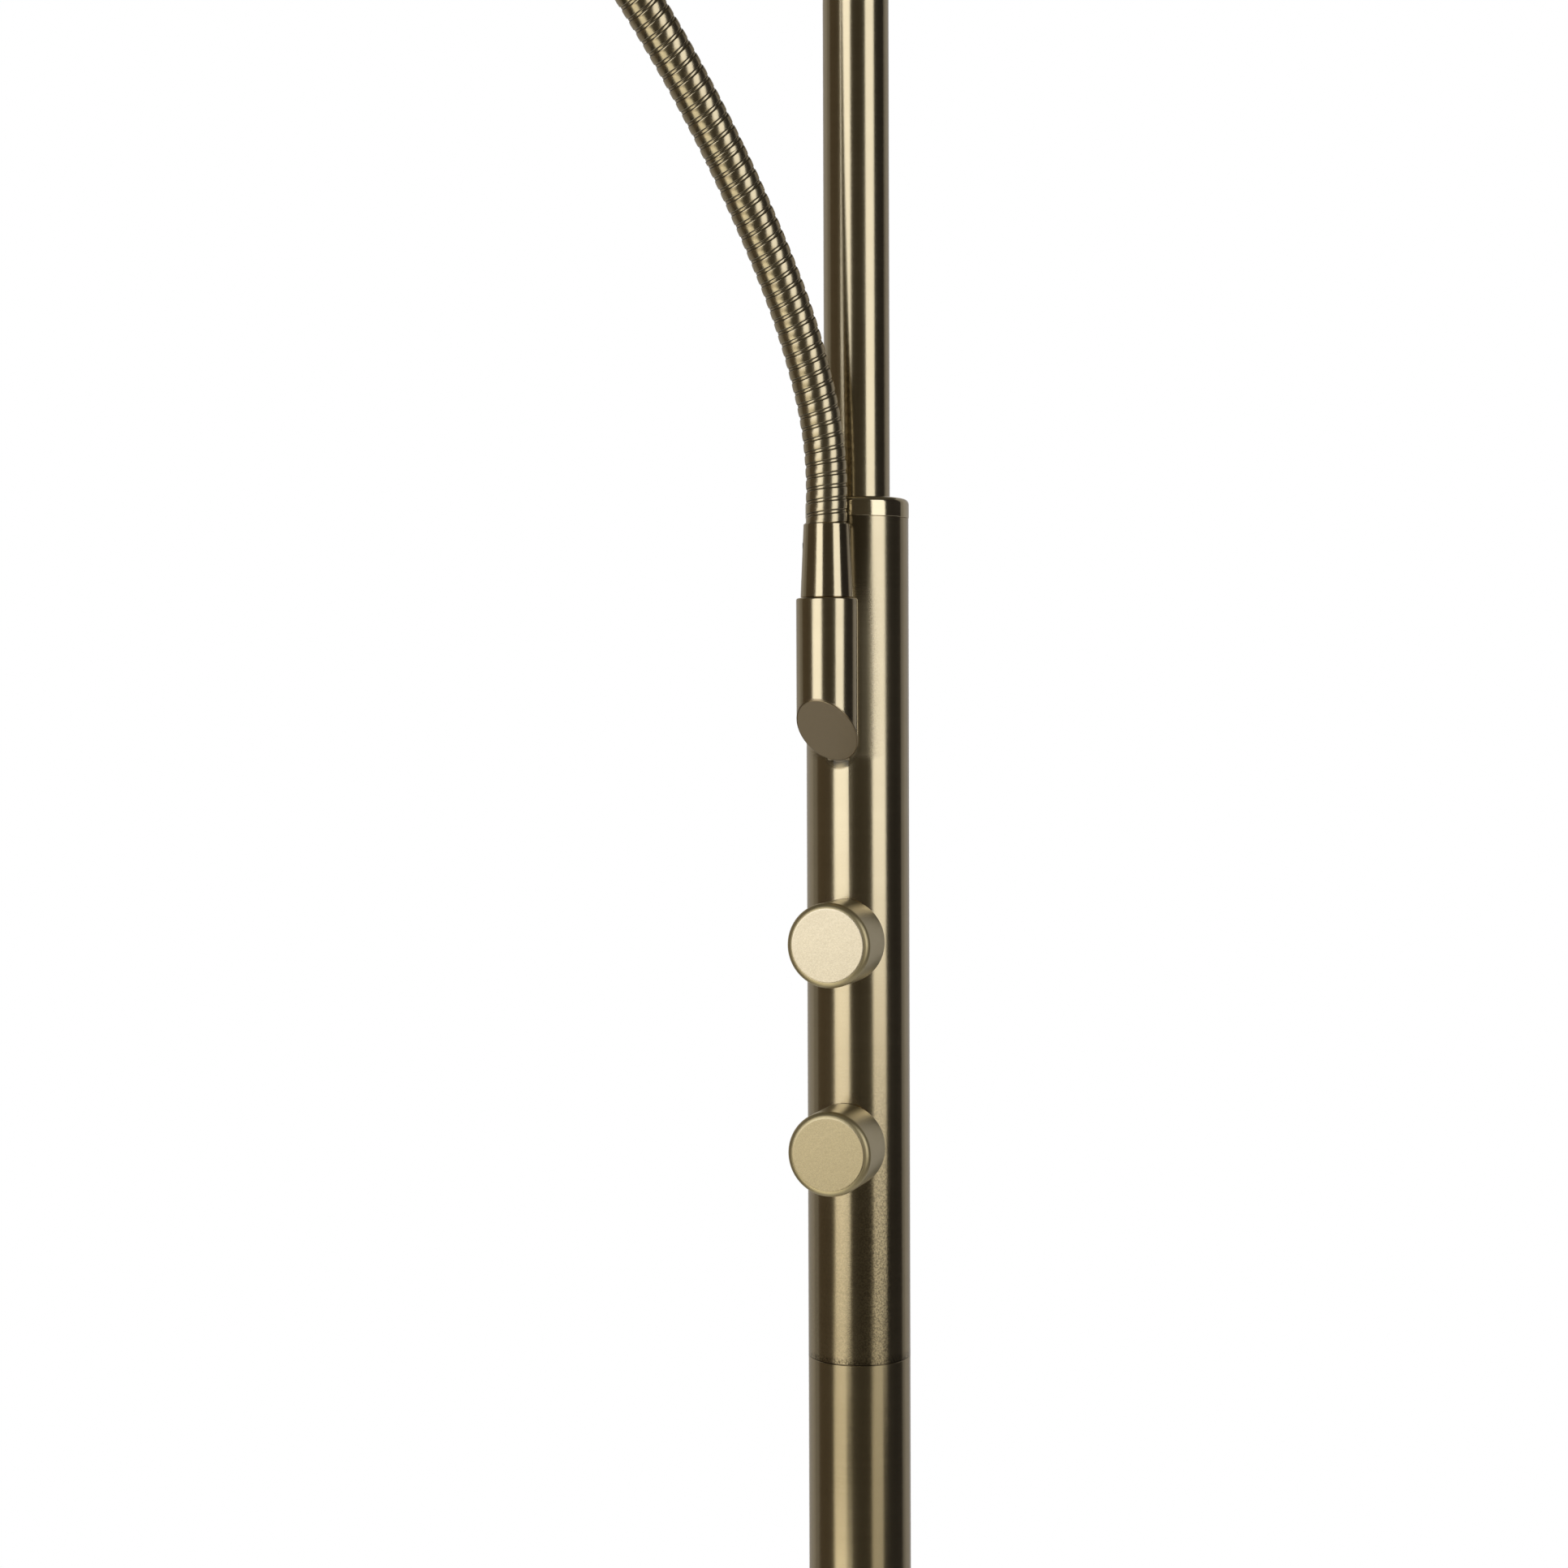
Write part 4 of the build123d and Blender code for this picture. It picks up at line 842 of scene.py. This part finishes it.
def wire_lead():
    """Curve of the wire's lower end, up the tube and across into the holder, and its greatest length."""
    beside_board = holder_outward * (WIRE_DIAMETER / 2 + WIRE_CLEARANCE)
    hole_height = Vector((0, 0, holder_top - WIRE_HOLE_DROP))
    lowest = Vector((0, 0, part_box("neck_wire")[0].z))
    route = (beside_board + lowest, beside_board + hole_height, holder_axis + hole_height, neck_foot)
    data = bpy.data.curves.new("wire_lead", "CURVE")
    data.dimensions = "3D"
    spline = data.splines.new("NURBS")
    spline.points.add(len(route) - 1)
    for knot, point in zip(spline.points, route):
        knot.co = (*point, 1)
    spline.order_u = 3
    spline.use_endpoint_u = True
    made = bpy.data.objects.new("wire_lead", data)
    bpy.context.scene.collection.objects.link(made)
    return made, sum((b - a).length for a, b in zip(route, route[1:]))


lead, lead_length = wire_lead()
lead_piece = grown("neck_wire_lead", lead, neck_winding, {"Start": 0.0, "End": lead_length, **wire_sizes})
bpy.data.objects.remove(lead)
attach(lead_piece, "stand")
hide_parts("neck_wire")

# Reading head
# A spun shell in the same bronze screws onto the neck. Inside are a finned heat sink, one round diode on its
# board and a cone reflector, closed by an opal lens that a ring presses home.
head_point, head_lean = neck_point(neck_length)
head_turn = leaning(head_lean).to_track_quat("Z", "Y").to_euler()
head_bronze = bronze("head_bronze", origin=head_point, turn=head_turn, density=1500.0)
bare_aluminium = grained(
    "bare_aluminium",
    (0.6, 0.6, 0.61, 1),
    (0.78, 0.78, 0.79, 1),
    scale=1500, patch_scale=70, roughness=0.3, relief=0.00001, Metallic=1.0,
)
phosphor = grained(
    "phosphor",
    (0.78, 0.55, 0.08, 1),
    (0.9, 0.7, 0.18, 1),
    scale=2500, patch_scale=300, roughness=0.5, relief=0.00002,
)
opal = grained(
    "opal_acrylic",
    (0.84, 0.83, 0.8, 1),
    (0.88, 0.87, 0.84, 1),
    scale=700, patch_scale=30, roughness=0.4, relief=0.000005,
)
dress(head_bronze, "head_shell", "head_ring", "head_ferrule")
dress(zinc, "head_nut")
dress(bare_aluminium, "head_heat_sink", "head_reflector")
dress(phosphor, "head_led")
dress(opal, "head_lens")

# Uplight
# A spun dish on a turned hub carries an aluminium plate with a ring of diodes on its board. An opal disc
# lies on the rim and a spun ring holds it down.
dress(bronze("dish_bronze", density=900.0, roughness=0.34), "dish_shell", "dish_ring", "dish_hub")
dress(zinc, "upper_pole_plug", "dish_stud", "dish_nut", "dish_standoffs", "carrier_screws")
dress(bare_aluminium, "led_carrier")
dress(phosphor, "led_chips")
dress(opal, "dish_diffuser")

# Floor and studio
# A plain pale floor lies under the lamp. Painted flats round it, a ceiling and a card on the floor are there
# for reflections only.
CAMERA_SIDE = math.radians(17.0)
FLOOR_RADIUS = 1.65
FLOOR_SIDES = 96
FLAT_DISTANCE = 1.7
FLAT_HEIGHT = 2.6
FLAT_STEP = 5
FLAT_DARK_SHARE = 0.95
# First and last angle from the camera's direction, and colour, of each flat
STUDIO_FLATS = (
    (-168, -122, (0.72, 0.68, 0.63)),
    (-122, -105, (0.5, 0.47, 0.42)),
    (-105, -40, (0.21, 0.165, 0.11)),
    (-40, 40, (0.14, 0.12, 0.085)),
    (40, 112, (0.055, 0.05, 0.05)),
    (112, 124, (0.5, 0.48, 0.46)),
    (124, 168, (0.7, 0.67, 0.64)),
)
CARD_ANGLES = (-130, 80)
CARD_BROWN = (0.06, 0.048, 0.034)
CARD_DISTANCE = 0.85
CARD_HEIGHT = 0.004


def around_lamp(angle, distance, height):
    """Point at an angle from the knobs' direction toward +X, a distance from the pole."""
    return Vector((math.sin(angle) * distance, -math.cos(angle) * distance, height))


def plain_mesh(name, points, faces, material):
    """Mesh object from points and faces."""
    mesh = bpy.data.meshes.new(name)
    mesh.from_pydata(points, [], faces)
    mesh.materials.append(material)
    made = bpy.data.objects.new(name, mesh)
    bpy.context.scene.collection.objects.link(made)
    return made


def only_reflected(flat):
    """Lets light and the camera pass a flat, so that only reflections show it."""
    flat.visible_camera = False
    flat.visible_diffuse = False
    flat.visible_shadow = False
    return flat


def flat_paint(name, dark, light):
    """Dull paint for the studio's flats and ceiling."""
    return grained(name, dark, light, scale=20, patch_scale=2, roughness=0.9, relief=0.0001)


def studio_flat(name, first, last, colour, near=(FLAT_DISTANCE, 0.0), far=(FLAT_DISTANCE, FLAT_HEIGHT)):
    """Flat curved round the lamp between two angles from the camera and two (distance, height) edges."""
    dark = (*(FLAT_DARK_SHARE * part for part in colour), 1)
    paint = flat_paint(name + "_paint", dark, (*colour, 1))
    count = max(1, (last - first) // FLAT_STEP)
    points = []
    for step in range(count + 1):
        angle = CAMERA_SIDE + math.radians(first + (last - first) * step / count)
        points += [around_lamp(angle, *near), around_lamp(angle, *far)]
    faces = [(2 * step, 2 * step + 1, 2 * step + 3, 2 * step + 2) for step in range(count)]
    return only_reflected(plain_mesh(name, points, faces, paint))


floor_paint = grained(
    "pale_floor",
    (0.78, 0.78, 0.77, 1),
    (0.82, 0.82, 0.81, 1),
    scale=300, patch_scale=4, roughness=0.7, relief=0.0001,
)
floor_angles = [2 * math.pi * side / FLOOR_SIDES for side in range(FLOOR_SIDES)]
floor_rim = [around_lamp(angle, FLOOR_RADIUS, 0.0) for angle in floor_angles]
floor = plain_mesh("floor", floor_rim, [tuple(range(FLOOR_SIDES))], floor_paint)
ceiling_paint = flat_paint("ceiling_paint", (0.14, 0.13, 0.1, 1), (0.15, 0.135, 0.105, 1))
ceiling_signs = ((-1, -1), (-1, 1), (1, 1), (1, -1))
ceiling_corners = [(x * FLAT_DISTANCE, y * FLAT_DISTANCE, FLAT_HEIGHT) for x, y in ceiling_signs]
ceiling = only_reflected(plain_mesh("studio_ceiling", ceiling_corners, [(0, 1, 2, 3)], ceiling_paint))
flats = [studio_flat("studio_flat_" + str(number), *values) for number, values in enumerate(STUDIO_FLATS)]
card_near = (CARD_DISTANCE, CARD_HEIGHT)
card_far = (FLAT_DISTANCE, CARD_HEIGHT)
floor_card = studio_flat("floor_card", *CARD_ANGLES, CARD_BROWN, card_near, card_far)

# Light
# Two tall softboxes stand left and right of the camera, dimmer and warmer toward the floor. A low one leans
# back on the left for the underside of the neck. A weak even light fills the room before a white backdrop.
FILL_STRENGTH = 0.4
BACKDROP_STRENGTH = 1.0
world = bpy.data.worlds.new("studio")
bpy.context.scene.world = world
world.use_nodes = True
sky = world.node_tree
sky.nodes.clear()
path = add(sky, "ShaderNodeLightPath").outputs
seen = maths(sky, "ADD", path["Is Camera Ray"], path["Is Glossy Ray"])
seen = maths(sky, "ADD", seen, path["Is Transmission Ray"], clamp=True)
fill = add(sky, "ShaderNodeBackground", {"Color": (1, 1, 1, 1), "Strength": FILL_STRENGTH})
white = add(sky, "ShaderNodeBackground", {"Color": (1, 1, 1, 1), "Strength": BACKDROP_STRENGTH})
mixed = add(sky, "ShaderNodeMixShader", {0: seen, 1: fill.outputs[0], 2: white.outputs[0]})
add(sky, "ShaderNodeOutputWorld", {"Surface": mixed.outputs[0]})


def softbox(name, side, distance, height, width, length, brightness, colour, aim=None):
    """Soft light turned to the pole, level or aimed at a height. A brightness of 1 mirrors as white."""
    data = bpy.data.lights.new(name, "AREA")
    data.shape = "RECTANGLE"
    data.size = width
    data.size_y = length
    data.energy = brightness * math.pi * width * length
    data.color = colour
    made = bpy.data.objects.new(name, data)
    bpy.context.scene.collection.objects.link(made)
    place = around_lamp(CAMERA_SIDE + math.radians(side), distance, height)
    made.location = place
    target = Vector((0, 0, height if aim is None else aim))
    made.rotation_euler = (place - target).to_track_quat("Z", "Y").to_euler()
    return made


SOFTBOX_DISTANCE = 1.3
# Side in degrees from the camera's direction, width and brightness
SOFTBOXES = {
    "left": (-39.0, 0.85, 2.0),
    "right": (47.0, 0.75, 1.9),
}
# Height, length, share of the width, turn to the side, shares of the left and right brightness, and colour
SOFTBOX_PARTS = {
    "top": (1.5, 1.0, 1.0, 0.0, {"left": 1.1, "right": 1.07}, (0.92, 0.95, 1.0)),
    "middle": (0.93, 0.14, 1.0, 0.0, {"left": 0.8, "right": 0.71}, (1.0, 0.985, 0.93)),
    "low": (0.78, 0.16, 1.0, 0.0, {"left": 0.6, "right": 0.45}, (1.0, 0.97, 0.85)),
    "foot": (0.5, 0.4, 0.84, -7.5, {"left": 0.41, "right": 0.32}, (1.0, 0.95, 0.8)),
}
for part, (height, length, width_share, turn, shares, colour) in SOFTBOX_PARTS.items():
    for hand, (side, width, brightness) in SOFTBOXES.items():
        softbox(
            hand + "_softbox_" + part,
            side + turn,
            SOFTBOX_DISTANCE,
            height,
            width * width_share,
            length,
            brightness * shares[hand],
            colour,
        )
softbox(
    "low_softbox",
    side=-39.0,
    distance=0.84,
    height=0.38,
    width=0.7,
    length=0.6,
    brightness=1.4,
    colour=(1.0, 0.99, 0.87),
    aim=1.27,
)

# Camera
# The photograph's place: level with the holder, close to the tube, a little to the right of the knobs. It
# was solved from the edges of the tubes and from both seams.
PHOTO_PIXELS = 1932
FOCAL_PIXELS = 3300.0
SENSOR_WIDTH = 36.0
NEAREST = 0.01
POLE_DISTANCE = 0.6527
POLE_OFFSET = 0.0180
HORIZON_ROW = 880
SEAM_ABOVE_CAMERA = 0.0474
CAMERA_ROLL = math.radians(-0.21)
lens = bpy.data.cameras.new("photo_camera")
lens.sensor_width = SENSOR_WIDTH
lens.lens = SENSOR_WIDTH * FOCAL_PIXELS / PHOTO_PIXELS
lens.clip_start = NEAREST
camera = bpy.data.objects.new("photo_camera", lens)
bpy.context.scene.collection.objects.link(camera)
toward_camera = around_lamp(CAMERA_SIDE, 1.0, 0.0)
to_the_right = Vector((math.cos(CAMERA_SIDE), math.sin(CAMERA_SIDE), 0))
camera_height = Vector((0, 0, control_top - SEAM_ABOVE_CAMERA))
camera.location = toward_camera * POLE_DISTANCE - to_the_right * POLE_OFFSET + camera_height
pitch = math.atan((PHOTO_PIXELS / 2 - HORIZON_ROW) / FOCAL_PIXELS)
facing = Matrix((to_the_right, (0, 0, 1), toward_camera)).transposed()
tilt = Matrix.Rotation(-pitch, 3, "X") @ Matrix.Rotation(CAMERA_ROLL, 3, "Z")
camera.rotation_euler = (facing @ tilt).to_euler()
bpy.context.scene.camera = camera
bpy.context.scene.view_settings.view_transform = "Standard"
